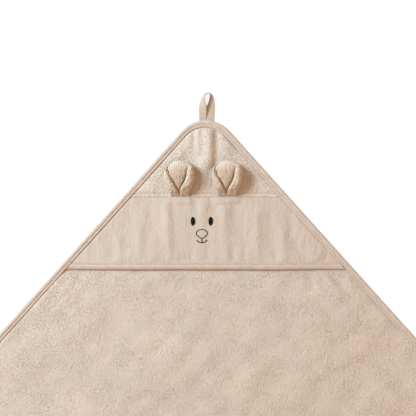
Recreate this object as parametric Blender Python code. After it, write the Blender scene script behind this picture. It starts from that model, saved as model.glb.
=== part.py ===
"""Hooded bath towel with ears, laid flat.

A square of terry with a bound edge lies on z = 0, its hooded corner towards +Y. The hood is two panels
joined by a cross seam, with two folded ears caught in that seam, a bound opening edge, and a hanging
loop at the tip. Metres, +Z up; the origin is on the underside, below the middle of the square.

Each layer is drawn on the flat cut, whose corners are square, and bias() then draws the cloth out a
little along its hooded diagonal. Heights are functions of the place on the cloth, so that what lies on
a layer follows it at an even gap.
"""

import math

import bmesh
import bpy

MM = 0.001
HAIR = 0.0001  # a length too small to see

# The flat cut
SIDE = 0.750
CORNER_RADIUS = 0.050
HALF_APEX = math.radians(42.0)  # half the hooded corner's angle once the cloth is drawn out on the bias
CORE = SIDE / 2 - CORNER_RADIUS
ACROSS = math.sin(HALF_APEX)
ALONG = math.cos(HALF_APEX)
APEX_Y = SIDE * ALONG  # where the two upper edges would meet, were the tip not rounded
TIP_Y = (2 * CORE + math.sqrt(2) * CORNER_RADIUS) * ALONG

# Cloth and tape
GAP = 0.0003
TERRY = 0.0026
TERRY_BOUND = 0.0016  # pressed flat inside the binding
HOOD_CLOTH = 0.0022
HOOD_BOUND = 0.0012
TAPE = 0.0010
BINDING_WIDTH = 0.0088
EASE = 0.0060  # over which pressed cloth swells to its full thickness
PRESSED_ZONE = BINDING_WIDTH + 0.0010
EDGE_ZONE = PRESSED_ZONE + EASE
BODY_INSET = 0.0015
HOOD_INSET = 0.0018
LAYER_ROOM = TAPE + GAP
BINDING_SLACK = 0.0002  # how loosely the tape is folded over the layers
BINDING_OPENS = 0.0180  # below the hood, over which the tape opens from one layer to two

# The hood, as drops from the apex
SEAM_DROP = 0.1260
FOLD_DROP = 0.2243
SEAM_Y = APEX_Y - SEAM_DROP
FOLD_Y = APEX_Y - FOLD_DROP
HOOD_TAPE_WIDTH = 0.0083
HOOD_TAPE_STEPS = 40
SEAM_DIP = 0.0007
SEAM_SPREAD = 0.0030
HOOD_LOFT = 0.0016  # how far the middle of the hood stands off the towel
LOFT_STARTS = 0.0120  # inside the outline
LOFT_FULL = 0.0800
HOOD_TRIM = BINDING_WIDTH + 0.0006  # where the hood's bound edge stops, short of the outer binding

# The ears, and the turned-in edge of each, felt through the panel below the seam
EAR_LENGTH = 0.0485
EAR_CENTRES = {"left": -0.0350, "right": 0.0292}
EAR_TILT = math.radians(7.0)
EAR_BASE_Y = SEAM_Y + 0.0008
EAR_REST_Y = SEAM_Y + 0.0100  # where the ear rests on the hood
EAR_CLOTH = 0.0026
EAR_CLOTH_AT_SEAM = 0.0010
EAR_CLEARANCE = 0.0004
EAR_GAP = 0.0005
UNDER_EAR_MIDDLE = 0.0220  # above the seam; the hood is flat to this radius round it
UNDER_EAR_EDGE = 0.0320
PATCH_HEIGHT = 0.0011
PATCH_HALF_WIDTH = 0.0165
PATCH_DROP = 0.0065
PATCH_EASE = 0.0030
PATCH_SIDE_EASE = 0.0020

# The hanging loop, and the tip's rise over the ends sewn under it
LOOP_TAPE = 0.0012
LOOP_CENTRE_X = 0.0018
LOOP_SPARE = 0.0002
TIP_LIFT = LOOP_TAPE + GAP + LOOP_SPARE
TIP_LIFT_FULL = 0.0140  # how near the loop the tip stands at its full rise, and where it lies flat again
TIP_LIFT_ENDS = 0.1000

# Grid lines of the main panel: insets of the rings near its edge, and lines across its middle. They
# close up where the hood's opening edge meets the side.
RING_INSETS = (0.0360, 0.0250, EDGE_ZONE, PRESSED_ZONE, 0.0050)
MIDDLE_LINES = (
    -0.279, -0.233, -0.187, -0.141, -0.095, -0.050, -0.005, 0.034,
    0.052, 0.066, 0.080, 0.096, 0.120, 0.160, 0.200, 0.240, 0.275, 0.302,
)

# Rows of the hood's panels, in millimetres: above the fold inside its tape, above that tape's edge, and
# to each side of the cross seam. The rows inside the tape stop short of the outer binding.
FACE_ROWS_IN_TAPE = (1.8, 5.0)
FACE_ROWS_AT_TAPE_EDGE = (0.0, 0.5)
FACE_ROWS_ABOVE_TAPE = (1.0, 6.0, 20.0, 37.0, 55.0)
FACE_ROWS_BELOW_SEAM = (15.0, 9.5, 6.5, 3.0, 0.0)
TIP_ROWS_ABOVE_SEAM = (0.0, 3.0, 8.0)
TIP_STRAIGHT_ROWS = 7
TIP_ROUND_ROWS = (54, 62, 70, 78, 85)  # degrees round the tip's arc, which starts at 45
FACE_LINE_SPACING = 0.0085
TIP_LINE_SPACING = 0.0075
LINE_CLEARANCE = 1 / 3  # of that spacing, between the last upright line and the edge's lines

# Folds of the hood. Millimetres; x from the centreline at the fold's upper and lower end, the drops of
# those ends, the crest's height, and how far each flank spreads.
FOLD_FADE_OUTSIDE = 8.0  # past each end
FOLD_FADE_INSIDE = 12.0
FOLD_COLUMNS = ("x_top", "x_foot", "drop_top", "drop_foot", "height", "left", "right")
FOLDS = (
    (4.0, 2.0, 30.0, 88.0, 4.2, 12.0, 7.0),
    (24.0, 33.0, 40.0, 70.0, 2.2, 7.0, 7.0),
    (-19.0, -23.0, 34.0, 66.0, 1.6, 6.0, 6.0),
    (-31.0, -37.0, 54.0, 80.0, 1.8, 8.0, 7.0),
    (-3.0, -5.0, 74.0, 112.0, 2.0, 9.0, 9.0),
    (-85.0, -92.0, 138.0, 216.0, 1.3, 8.0, 7.0),
    (-71.0, -70.0, 176.0, 220.0, 0.8, 6.0, 6.0),
    (-52.0, -50.0, 134.0, 216.0, 1.4, 8.0, 8.0),
    (-29.0, -31.0, 140.0, 206.0, 0.8, 7.0, 7.0),
    (-3.0, -9.0, 132.0, 218.0, 1.0, 8.0, 8.0),
    (25.0, 28.0, 134.0, 216.0, 1.4, 8.0, 8.0),
    (44.0, 46.0, 180.0, 220.0, 0.8, 7.0, 7.0),
    (70.0, 71.0, 140.0, 216.0, 1.3, 9.0, 8.0),
    (106.0, 108.0, 168.0, 218.0, 1.2, 9.0, 8.0),
    (143.0, 146.0, 190.0, 220.0, 1.0, 8.0, 8.0),
    (-115.0, -118.0, 178.0, 218.0, 1.1, 8.0, 8.0),
    (-136.0, -140.0, 190.0, 220.0, 0.8, 8.0, 8.0),
)

# Where the edge of the towel lifts off the surface, below the hood. Metres on the flat cut, height and
# spread.
LIFT_FADE = 0.0600
LIFT_COLUMNS = ("u", "v", "height", "spread")
LIFTS = (
    (-0.375, -0.375, 0.0050, 0.090),
    (0.375, -0.300, 0.0030, 0.080),
    (0.375, -0.080, 0.0022, 0.070),
    (-0.290, 0.375, 0.0034, 0.080),
    (-0.050, 0.375, 0.0020, 0.070),
    (-0.120, -0.375, 0.0026, 0.080),
    (0.130, -0.375, 0.0020, 0.070),
    (-0.375, 0.060, 0.0024, 0.080),
)

# Section of the edge binding: inset from the towel's outline in millimetres, share of the height of the
# space inside it, and millimetres above that.
BINDING_SECTION = (
    (8.8, 1.0, 1.0),
    (7.3, 1.0, 1.3),
    (5.9, 1.0, 1.0),
    (4.4, 1.0, 1.6),
    (2.5, 1.0, 1.9),
    (0.9, 1.0, 1.1),
    (0.0, 0.6, 0.0),
    (0.7, 0.0, 0.5),
    (2.2, 0.0, 0.0),
    (8.8, 0.0, 0.0),
    (8.8, 0.0, 1.0),
    (1.6, 0.0, 1.0),
    (1.2, 0.0, 1.2),
    (1.2, 1.0, -0.2),
    (1.6, 1.0, 0.0),
    (8.8, 1.0, 0.0),
)

# Section of the tape over the hood's opening edge: millimetres up the hood from the fold, and above the
# towel.
HOOD_TAPE_SECTION = (
    (8.3, 0.0),
    (1.2, 0.0),
    (0.2, 0.8),
    (0.0, 2.0),
    (0.4, 3.2),
    (1.6, 4.0),
    (4.2, 4.2),
    (6.6, 3.8),
    (8.3, 3.8),
    (8.3, 2.8),
    (1.5, 2.8),
    (1.1, 2.5),
    (1.1, 1.3),
    (1.5, 1.0),
    (8.3, 1.0),
)

# The ear from its seam to its top. Share of the length, half width over all and radius of the rolled
# sides in millimetres, how far the left and right side roll in degrees, and how far they then go on
# towards the middle.
EAR_COLUMNS = ("share", "half_width", "roll", "turn_left", "turn_right", "flap")
EAR_ROWS = (
    (0.00, 12.4, 1.5, 180.0, 180.0, 9.2),
    (0.05, 13.3, 2.4, 180.0, 180.0, 8.8),
    (0.12, 14.4, 3.5, 180.0, 180.0, 8.0),
    (0.22, 16.2, 4.6, 180.0, 180.0, 6.6),
    (0.34, 18.3, 5.2, 180.0, 180.0, 4.9),
    (0.46, 20.0, 5.5, 176.0, 180.0, 2.8),
    (0.58, 20.8, 5.5, 158.0, 174.0, 1.0),
    (0.70, 19.9, 5.2, 112.0, 150.0, 0.7),
    (0.81, 17.2, 4.8, 78.0, 110.0, 0.7),
    (0.90, 13.2, 4.4, 55.0, 67.0, 0.6),
    (0.96, 8.8, 4.0, 42.0, 46.0, 0.5),
    (1.00, 4.2, 4.0, 24.0, 24.0, 0.4),
)
EAR_FLAT_STEPS = 2  # from the middle to where the side starts to roll
EAR_ROLL_STEPS = 5  # round the roll
EAR_SWELLS = 0.30  # share of the length by which the pressed cloth has its full thickness
EAR_PUFF = 0.5  # how much thicker the cloth and its filling are in the middle of the upper lobe
EAR_PUFF_FROM = 0.45
EAR_PUFF_FULL = 0.80
EAR_RIM = 0.4  # share of that thickness left at the sewn rim
EAR_RIM_FROM = 0.72  # share of the way from the middle to the rim

# The loop's tape, from its left end round to its right one. Millimetres: the tape's lower and upper
# edge as x, distance above the towel's tip, and height.
LOOP_COLUMNS = ("x_low", "y_low", "z_low", "x_high", "y_high", "z_high")
LOOP_STATIONS = (
    (-8.4, -9.5, 0.0, 1.2, -9.5, 0.0),
    (-8.6, -1.0, 0.0, 1.2, -1.0, 0.2),
    (-8.9, 8.0, 0.0, 1.1, 8.0, 1.6),
    (-9.1, 17.0, 0.1, 0.8, 17.0, 3.2),
    (-7.9, 25.0, 0.1, -0.8, 25.0, 7.3),
    (-5.4, 31.0, 0.1, -1.5, 30.6, 9.3),
    (-2.0, 35.0, 0.1, 0.4, 34.4, 9.9),
    (2.8, 36.8, 0.1, 3.8, 36.2, 10.1),
    (6.0, 34.8, 0.1, 7.8, 34.8, 10.0),
    (6.2, 30.6, 0.1, 10.4, 31.0, 9.3),
    (5.0, 25.0, 0.1, 12.0, 25.0, 7.4),
    (2.9, 17.0, 0.1, 12.6, 17.0, 3.6),
    (2.5, 8.0, 0.0, 12.3, 8.0, 1.8),
    (2.4, -1.0, 0.0, 12.0, -1.0, 0.2),
    (2.4, -9.5, 0.0, 12.0, -9.5, 0.0),
)
LOOP_STEPS = 3  # sections between two stations

# Section of the loop's tape: share of the way across it, and of half its thickness.
LOOP_SECTION = (
    (0.00, 0.4),
    (0.06, 1.0),
    (0.94, 1.0),
    (1.00, 0.4),
    (1.00, -0.4),
    (0.94, -1.0),
    (0.06, -1.0),
    (0.00, -0.4),
)

SHARP_ANGLE = math.radians(40.0)

# Base colour and roughness of each cloth
FINISHES = {
    "terry": ((0.66, 0.54, 0.45), 0.95),
    "hood_cloth": ((0.69, 0.56, 0.47), 0.92),
    "tape": ((0.66, 0.52, 0.42), 0.85),
    "ear_lining": ((0.56, 0.42, 0.32), 0.90),
}


def clamp(value):
    return min(1.0, max(0.0, value))


def ease(value, low, high):
    """0 below low, 1 above high, and a smooth step between."""
    share = clamp((value - low) / (high - low))
    return share * share * (3 - 2 * share)


def bell(distance, spread):
    return math.exp(-((distance / spread) ** 2))


def table(columns, rows):
    return [dict(zip(columns, row)) for row in rows]


# ---------------------------------------------------------------- places on the cloth


def bias(u, v):
    """The flat cut's point (u, v) after the cloth is drawn out along its hooded diagonal."""
    return (u - v) * ACROSS, (u + v) * ALONG


def inset_at(x, y):
    """How far inside the outline a place lies, measured on the flat cut."""
    u = abs(x / ACROSS + y / ALONG) / 2
    v = abs(y / ALONG - x / ACROSS) / 2
    if u > CORE and v > CORE:
        return CORNER_RADIUS - math.hypot(u - CORE, v - CORE)
    return SIDE / 2 - max(u, v)


def half_width(y, inset):
    """Half the width at height y of the line that runs this far inside the outline, near the hood."""
    radius = CORNER_RADIUS - inset
    if y <= (2 * CORE + radius) * ALONG:
        return ACROSS * (SIDE - 2 * inset - y / ALONG)
    rise = (y - 2 * CORE * ALONG) / (math.sqrt(2) * radius * ALONG)
    if rise >= 1.0:
        return 0.0
    return math.sqrt(2) * radius * ACROSS * math.sqrt(1 - rise * rise)


def drawn_in(line, inset):
    """A grid line moved in from the outline: lines past the corners' centres close up evenly."""
    past = abs(line) - CORE
    if past <= 0:
        return line
    return math.copysign(CORE + past * (1 - inset / CORNER_RADIUS), line)


def rounded(u, v):
    """A point of the square with sharp corners carried to the same inset in the one with round corners."""
    past_u = abs(u) - CORE
    past_v = abs(v) - CORE
    if past_u <= 0 or past_v <= 0:
        return u, v
    reach = max(past_u, past_v)
    angle = math.pi / 4 * past_v / past_u if past_u >= past_v else math.pi / 4 * (2 - past_u / past_v)
    return (
        math.copysign(CORE + reach * math.cos(angle), u),
        math.copysign(CORE + reach * math.sin(angle), v),
    )


# ---------------------------------------------------------------- heights


def lift(x, y):
    """How far the towel stands off the surface: loose edges, and the tip over the loop's ends."""
    u = (x / ACROSS + y / ALONG) / 2
    v = (y / ALONG - x / ACROSS) / 2
    from_loop = math.hypot(x - LOOP_CENTRE_X, y - TIP_Y)
    height = TIP_LIFT * (1 - ease(from_loop, TIP_LIFT_FULL, TIP_LIFT_ENDS))
    away = ease(FOLD_Y - y, 0.0, LIFT_FADE)
    for row in table(LIFT_COLUMNS, LIFTS):
        height += away * row["height"] * bell(math.hypot(u - row["u"], v - row["v"]), row["spread"])
    return height


def pressed(x, y):
    """1 inside the edge binding, 0 where the cloth has its full thickness."""
    return 1 - ease(inset_at(x, y), PRESSED_ZONE, EDGE_ZONE)


def body_under(x, y):
    return lift(x, y) + pressed(x, y) * LAYER_ROOM


def body_over(x, y):
    flat = pressed(x, y)
    return lift(x, y) + flat * (LAYER_ROOM + TERRY_BOUND) + (1 - flat) * TERRY


def in_hood_tape(y):
    """1 under the tape of the hood's opening edge, 0 above it."""
    return 1 - ease(y - FOLD_Y, HOOD_TAPE_WIDTH + GAP, HOOD_TAPE_WIDTH + GAP + EASE)


def folds(x, y):
    drop = (APEX_Y - y) / MM
    height = 0.0
    for row in table(FOLD_COLUMNS, FOLDS):
        share = clamp((drop - row["drop_top"]) / (row["drop_foot"] - row["drop_top"]))
        beside = x / MM - row["x_top"] - share * (row["x_foot"] - row["x_top"])
        spread = row["left"] if beside < 0 else row["right"]
        fade = ease(drop, row["drop_top"] - FOLD_FADE_OUTSIDE, row["drop_top"] + FOLD_FADE_INSIDE)
        fade *= 1 - ease(drop, row["drop_foot"] - FOLD_FADE_INSIDE, row["drop_foot"] + FOLD_FADE_OUTSIDE)
        height += row["height"] * MM * fade * bell(beside, spread)
    return height


def under_ears(x, y):
    """1 where an ear lies on the hood."""
    if y < SEAM_Y:
        return 0.0
    above = y - SEAM_Y - UNDER_EAR_MIDDLE
    return max(
        1 - ease(math.hypot(x - centre, above), UNDER_EAR_MIDDLE, UNDER_EAR_EDGE)
        for centre in EAR_CENTRES.values()
    )


def ear_patches(x, y):
    """The step in the lower panel over the ears' turned-in edges."""
    below = SEAM_Y - y
    if below < 0:
        return 0.0
    height = PATCH_HEIGHT * (1 - ease(below, PATCH_DROP, PATCH_DROP + PATCH_EASE))
    return height * max(
        1 - ease(abs(x - centre), PATCH_HALF_WIDTH - PATCH_SIDE_EASE, PATCH_HALF_WIDTH + PATCH_SIDE_EASE)
        for centre in EAR_CENTRES.values()
    )


def loft(x, y):
    """How far the hood stands off the towel, apart from its folds."""
    return HOOD_LOFT * ease(inset_at(x, y), LOFT_STARTS, LOFT_FULL)


def hood_under(x, y):
    free = 1 - pressed(x, y)
    in_tape = in_hood_tape(y)
    if y > FOLD_Y + HOOD_TAPE_WIDTH + 2 * GAP:
        in_tape *= free  # above the tape's end the panel runs on into the edge binding
    loose = folds(x, y) * (1 - under_ears(x, y)) * (1 - in_tape) + ear_patches(x, y)
    return body_over(x, y) + GAP + loft(x, y) + free * loose + in_tape * LAYER_ROOM


def hood_over(x, y):
    flat = max(pressed(x, y), in_hood_tape(y))
    dip = SEAM_DIP * bell(y - SEAM_Y, SEAM_SPREAD) * (1 - flat)
    return hood_under(x, y) + flat * HOOD_BOUND + (1 - flat) * HOOD_CLOTH - dip


def binding_room(x, y):
    """Height of the space inside the edge binding: one layer, or two where the hood is caught in it."""
    second = ease(y, FOLD_Y - BINDING_OPENS, FOLD_Y + HOOD_TAPE_WIDTH)
    return LAYER_ROOM + TERRY_BOUND + GAP + BINDING_SLACK + second * (HOOD_BOUND + GAP)


# ---------------------------------------------------------------- making solids


def finish_material(finish):
    material = bpy.data.materials.get(finish)
    if material:
        return material
    colour, roughness = FINISHES[finish]
    material = bpy.data.materials.new(finish)
    material.use_nodes = True
    shader = material.node_tree.nodes["Principled BSDF"]
    shader.inputs["Base Color"].default_value = (*colour, 1.0)
    shader.inputs["Roughness"].default_value = roughness
    shader.inputs["Metallic"].default_value = 0.0
    return material


def add_piece(bm, name, finish, collection):
    bmesh.ops.recalc_face_normals(bm, faces=bm.faces)
    if bm.calc_volume(signed=True) < 0:
        bmesh.ops.reverse_faces(bm, faces=bm.faces)
    mesh = bpy.data.meshes.new(name)
    bm.to_mesh(mesh)
    bm.free()
    mesh.shade_smooth()
    mesh.set_sharp_from_angle(angle=SHARP_ANGLE)
    mesh.materials.append(finish_material(finish))
    piece = bpy.data.objects.new(name, mesh)
    collection.objects.link(piece)
    return piece


def across_hood(vertex):
    """Order along a row of the hood: by how far inside the outline near the binding, and by x between."""
    inset = inset_at(vertex.co.x, vertex.co.y)
    if inset > EDGE_ZONE - HAIR:
        return vertex.co.x
    return math.copysign(SIDE + EDGE_ZONE - inset, vertex.co.x)


def zip_rows(bm, first, second, order):
    """Triangles between two rows of vertices, which may differ in number where an order is given."""
    if order:
        first_keys = [order(vertex) for vertex in first]
        second_keys = [order(vertex) for vertex in second]
    else:
        first_keys = range(len(first))
        second_keys = range(len(second))
    i = 0
    j = 0
    while i < len(first) - 1 or j < len(second) - 1:
        if j == len(second) - 1 or (i < len(first) - 1 and first_keys[i + 1] <= second_keys[j + 1]):
            bm.faces.new((first[i], first[i + 1], second[j]))
            i += 1
        else:
            bm.faces.new((first[i], second[j + 1], second[j]))
            j += 1


def wall(name, over, under, finish, collection, order=None):
    """A closed sheet of cloth between two matching surfaces, each given as rows of points."""
    bm = bmesh.new()
    over = [[bm.verts.new(point) for point in row] for row in over]
    under = [[bm.verts.new(point) for point in row] for row in under]
    for surface in (over, under):
        for first, second in zip(surface, surface[1:]):
            zip_rows(bm, first, second, order)
    rims = []
    for surface in (over, under):
        right = [row[-1] for row in surface[1:]]
        left = [row[0] for row in surface[1:-1]]
        rims.append(surface[0] + right + surface[-1][-2::-1] + left[::-1])
    count = len(rims[0])
    for k in range(count):
        after = (k + 1) % count
        bm.faces.new((rims[0][k], rims[1][k], rims[1][after], rims[0][after]))
    return add_piece(bm, name, finish, collection)


def sweep(name, sections, closed, finish, collection):
    """A solid through closed sections with the same number of points, capped unless its path closes."""
    bm = bmesh.new()
    rings = [[bm.verts.new(point) for point in section] for section in sections]
    pairs = list(zip(rings, rings[1:]))
    if closed:
        pairs.append((rings[-1], rings[0]))
    else:
        bm.faces.new(rings[0])
        bm.faces.new(rings[-1][::-1])
    for first, second in pairs:
        for k in range(len(first)):
            after = (k + 1) % len(first)
            bm.faces.new((first[k], first[after], second[after], second[k]))
    return add_piece(bm, name, finish, collection)


def sheet_on(name, rows, height_over, height_under, finish, collection, order=None):
    """A sheet over plan points, its two faces at heights given by functions of the place."""
    over = [[(x, y, height_over(x, y)) for x, y in row] for row in rows]
    under = [[(x, y, height_under(x, y)) for x, y in row] for row in rows]
    return wall(name, over, under, finish, collection, order)


# ---------------------------------------------------------------- the pieces


def grid_lines():
    """Lines of the sharp-cornered square, from one side to the other."""
    shares = [(CORNER_RADIUS - inset) / (CORNER_RADIUS - BODY_INSET) for inset in RING_INSETS]
    outer = [CORE] + [CORE + share * CORNER_RADIUS for share in shares] + [SIDE / 2]
    return [-line for line in reversed(outer)] + list(MIDDLE_LINES) + outer


def towel_body(collection):
    lines = [drawn_in(line, BODY_INSET) for line in grid_lines()]
    rows = [[bias(*rounded(u, v)) for u in lines] for v in lines]
    return sheet_on("towel_body", rows, body_over, body_under, "terry", collection)


def edge_binding(collection):
    lines = grid_lines()
    half = SIDE / 2
    around = [(u, -half) for u in lines[:-1]]
    around += [(half, v) for v in lines[:-1]]
    around += [(u, half) for u in lines[:0:-1]]
    around += [(-half, v) for v in lines[:0:-1]]
    sections = []
    for u, v in around:
        section = []
        for inset, share, above in BINDING_SECTION:
            x, y = bias(*rounded(drawn_in(u, inset * MM), drawn_in(v, inset * MM)))
            section.append((x, y, lift(x, y) + share * binding_room(x, y) + above * MM))
        sections.append(section)
    return sweep("edge_binding", sections, True, "tape", collection)


def hood_row(y, edge_inset, spacing):
    """Plan points of one row of a hood panel: lines under the binding, and upright lines between them."""
    edges = [half_width(y, edge_inset)]
    for inset in (PRESSED_ZONE, EDGE_ZONE):
        width = half_width(y, inset)
        if inset > edge_inset and width > spacing:
            edges.append(width)
    upright = int(edges[-1] / spacing - LINE_CLEARANCE)
    middle = [spacing * k for k in range(-upright, upright + 1)]
    return [(x, y) for x in [-x for x in edges] + middle + edges[::-1]]


def hood_face(collection):
    tape_edge = FOLD_Y + HOOD_TAPE_WIDTH + GAP
    seam = SEAM_Y - GAP / 2
    trimmed = [FOLD_Y + up * MM for up in FACE_ROWS_IN_TAPE]
    trimmed += [tape_edge + up * MM for up in FACE_ROWS_AT_TAPE_EDGE]
    full = [tape_edge + up * MM for up in FACE_ROWS_ABOVE_TAPE]
    full += [seam - down * MM for down in FACE_ROWS_BELOW_SEAM]
    rows = [hood_row(y, HOOD_TRIM, FACE_LINE_SPACING) for y in trimmed]
    rows += [hood_row(y, HOOD_INSET, FACE_LINE_SPACING) for y in full]
    return sheet_on("hood_face", rows, hood_over, hood_under, "hood_cloth", collection, across_hood)


def hood_tip(collection):
    seam = SEAM_Y + GAP / 2
    radius = CORNER_RADIUS - HOOD_INSET
    heights = [seam + up * MM for up in TIP_ROWS_ABOVE_SEAM]
    rise = (2 * CORE + radius) * ALONG - heights[-1]
    heights += [heights[-1] + rise * (k + 1) / TIP_STRAIGHT_ROWS for k in range(TIP_STRAIGHT_ROWS)]
    for degrees in TIP_ROUND_ROWS:
        heights.append((2 * CORE + math.sqrt(2) * radius * math.sin(math.radians(degrees))) * ALONG)
    rows = [hood_row(y, HOOD_INSET, TIP_LINE_SPACING) for y in heights]
    return sheet_on("hood_tip", rows, hood_over, hood_under, "terry", collection, across_hood)


def hood_edge_binding(collection):
    sections = []
    for k in range(HOOD_TAPE_STEPS + 1):
        section = []
        for up, above in HOOD_TAPE_SECTION:
            y = FOLD_Y + up * MM
            x = half_width(y, HOOD_TRIM) * (2 * k / HOOD_TAPE_STEPS - 1)
            section.append((x, y, body_over(x, y) + GAP + loft(x, y) + above * MM))
        sections.append(section)
    return sweep("hood_edge_binding", sections, False, "tape", collection)


def ear_side(row, cloth, turn_column):
    """Half of the ear's middle line at one height, from its middle to its rim: how far across and up each
    point lies, which way its cloth faces, and its share of the way."""
    roll = row["roll"] * MM
    turn = math.radians(row[turn_column])
    widest = roll * math.sin(min(turn, math.pi / 2))
    straight = max(0.0, row["half_width"] * MM - cloth - EAR_GAP / 2 - widest)
    flap = row["flap"] * MM
    length = straight + roll * turn + flap
    points = []
    lengths = [straight * k / EAR_FLAT_STEPS for k in range(EAR_FLAT_STEPS)]
    lengths += [straight + roll * turn * k / EAR_ROLL_STEPS for k in range(EAR_ROLL_STEPS)]
    lengths += [length - flap, length]
    for along in lengths:
        angle = min(turn, max(0.0, along - straight) / roll)
        past = max(0.0, along - straight - roll * turn)
        across = min(along, straight) + roll * math.sin(angle) + past * math.cos(angle)
        up = roll * (1 - math.cos(angle)) + past * math.sin(angle)
        points.append((across, up, angle, along / length))
    return points


def ear_layer(side, name, facing, finish, collection):
    """One cloth of an ear: facing is 1 for the front, inside the fold, and -1 for the back."""
    centre = EAR_CENTRES[side]
    base_z = hood_over(centre, EAR_REST_Y) + EAR_CLEARANCE
    faces = ([], [])
    for row in table(EAR_COLUMNS, EAR_ROWS):
        share = row["share"]
        cloth = EAR_CLOTH_AT_SEAM + (EAR_CLOTH - EAR_CLOTH_AT_SEAM) * ease(share, 0.0, EAR_SWELLS)
        y = EAR_BASE_Y + EAR_LENGTH * share * math.cos(EAR_TILT)
        z = base_z + cloth + EAR_GAP / 2 + EAR_LENGTH * share * math.sin(EAR_TILT)
        puff = 1 + EAR_PUFF * ease(share, EAR_PUFF_FROM, EAR_PUFF_FULL)
        for face, depth in zip(faces, (0.0, 1.0)):
            sides = []
            for turn_column, hand in (("turn_left", -1), ("turn_right", 1)):
                points = []
                for across, up, angle, way in ear_side(row, cloth, turn_column):
                    full = puff + (1 - puff) * way * way
                    full *= 1 - (1 - EAR_RIM) * ease(way, EAR_RIM_FROM, 1.0)
                    shift = facing * (EAR_GAP / 2 + depth * cloth * full)
                    x = centre + hand * (across - shift * math.sin(angle))
                    points.append((x, y, z + up + shift * math.cos(angle)))
                sides.append(points)
            face.append(sides[0][:0:-1] + sides[1])
    return wall(name, faces[1], faces[0], finish, collection)


def ears(collection):
    for side in EAR_CENTRES:
        ear_layer(side, f"ear_{side}_outer", -1, "terry", collection)
        ear_layer(side, f"ear_{side}_inner", 1, "ear_lining", collection)


def between(points, share):
    """Catmull-Rom point between the second and third of four rows of numbers."""
    return [
        0.5
        * (
            2 * b
            + (c - a) * share
            + (2 * a - 5 * b + 4 * c - d) * share**2
            + (3 * b - a - 3 * c + d) * share**3
        )
        for a, b, c, d in zip(*points)
    ]


def loop_stations():
    rows = [LOOP_STATIONS[0], *LOOP_STATIONS, LOOP_STATIONS[-1]]
    stations = []
    for k in range(len(LOOP_STATIONS) - 1):
        for step in range(LOOP_STEPS):
            stations.append(between(rows[k : k + 4], step / LOOP_STEPS))
    stations.append(list(LOOP_STATIONS[-1]))
    return stations


def hanging_loop(collection):
    edges = []
    middles = []
    for row in table(LOOP_COLUMNS, loop_stations()):
        low, high = [
            (row["x_" + edge] * MM, TIP_Y + row["y_" + edge] * MM, row["z_" + edge] * MM + LOOP_TAPE / 2)
            for edge in ("low", "high")
        ]
        edges.append((low, high))
        middles.append([(a + b) / 2 for a, b in zip(low, high)])
    sections = []
    for k, (low, high) in enumerate(edges):
        before = middles[max(k - 1, 0)]
        after = middles[min(k + 1, len(middles) - 1)]
        travel = [b - a for a, b in zip(before, after)]
        width = [b - a for a, b in zip(low, high)]
        normal = [
            travel[1] * width[2] - travel[2] * width[1],
            travel[2] * width[0] - travel[0] * width[2],
            travel[0] * width[1] - travel[1] * width[0],
        ]
        size = math.hypot(*normal)
        half = [LOOP_TAPE / 2 * part / size for part in normal]
        sections.append(
            [
                [a + w * share + h * side for a, w, h in zip(low, width, half)]
                for share, side in LOOP_SECTION
            ]
        )
    return sweep("hanging_loop", sections, False, "tape", collection)


def main():
    for leftover in list(bpy.data.objects):
        bpy.data.objects.remove(leftover, do_unlink=True)
    collection = bpy.data.collections.new("hooded_towel")
    bpy.context.scene.collection.children.link(collection)
    towel_body(collection)
    edge_binding(collection)
    hood_face(collection)
    hood_tip(collection)
    hood_edge_binding(collection)
    ears(collection)
    hanging_loop(collection)


main()
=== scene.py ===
"""Hooded bath towel with ears, laid flat: its cloth, tape, stitching and embroidery.

Each cloth and tape stands for a plain solid of the frame and takes its form, with a finer surface; the
stitches are added to them. Layers are drawn on the flat square, and bias() draws the cloth out along its
hooded diagonal. Metres, +Z up, the hooded corner towards +Y.
"""

import math

import bpy
import numpy as np
from bpy.props import FloatProperty, FloatVectorProperty, IntProperty, PointerProperty
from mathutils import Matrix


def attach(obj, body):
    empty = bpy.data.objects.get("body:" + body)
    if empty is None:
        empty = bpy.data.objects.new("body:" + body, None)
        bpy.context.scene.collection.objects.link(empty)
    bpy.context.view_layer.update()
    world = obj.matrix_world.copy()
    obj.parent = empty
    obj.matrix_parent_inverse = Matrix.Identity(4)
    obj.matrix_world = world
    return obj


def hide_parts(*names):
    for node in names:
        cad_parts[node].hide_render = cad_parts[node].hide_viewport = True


bl_info = {
    "name": "Hooded towel with ears",
    "version": (1, 0, 0),
    "blender": (4, 5, 0),
    "location": "3D View > Sidebar > Towel",
    "description": "Cloth, tape, stitching and embroidery of a hooded bath towel laid flat",
    "category": "Object",
}

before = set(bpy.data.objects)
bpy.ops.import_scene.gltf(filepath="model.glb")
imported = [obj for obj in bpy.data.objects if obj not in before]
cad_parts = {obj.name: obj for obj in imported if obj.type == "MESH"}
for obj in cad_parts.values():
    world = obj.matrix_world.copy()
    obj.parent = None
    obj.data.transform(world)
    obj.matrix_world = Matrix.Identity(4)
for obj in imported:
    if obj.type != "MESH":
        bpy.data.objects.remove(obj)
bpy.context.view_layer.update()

MM = 0.001

# ---------------------------------------------------------------- the solids' own sizes

# The flat square, half the angle to which it is drawn out at the hooded corner, and what follows from them.
SIDE = 0.750
CORNER_RADIUS = 0.050
HALF_APEX = math.radians(42.0)
CORE = SIDE / 2 - CORNER_RADIUS
ACROSS = math.sin(HALF_APEX)
ALONG = math.cos(HALF_APEX)
APEX_Y = SIDE * ALONG
TIP_Y = (2 * CORE + math.sqrt(2) * CORNER_RADIUS) * ALONG
OUTLINE_LENGTH = 8 * CORE + 2 * math.pi * CORNER_RADIUS

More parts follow.
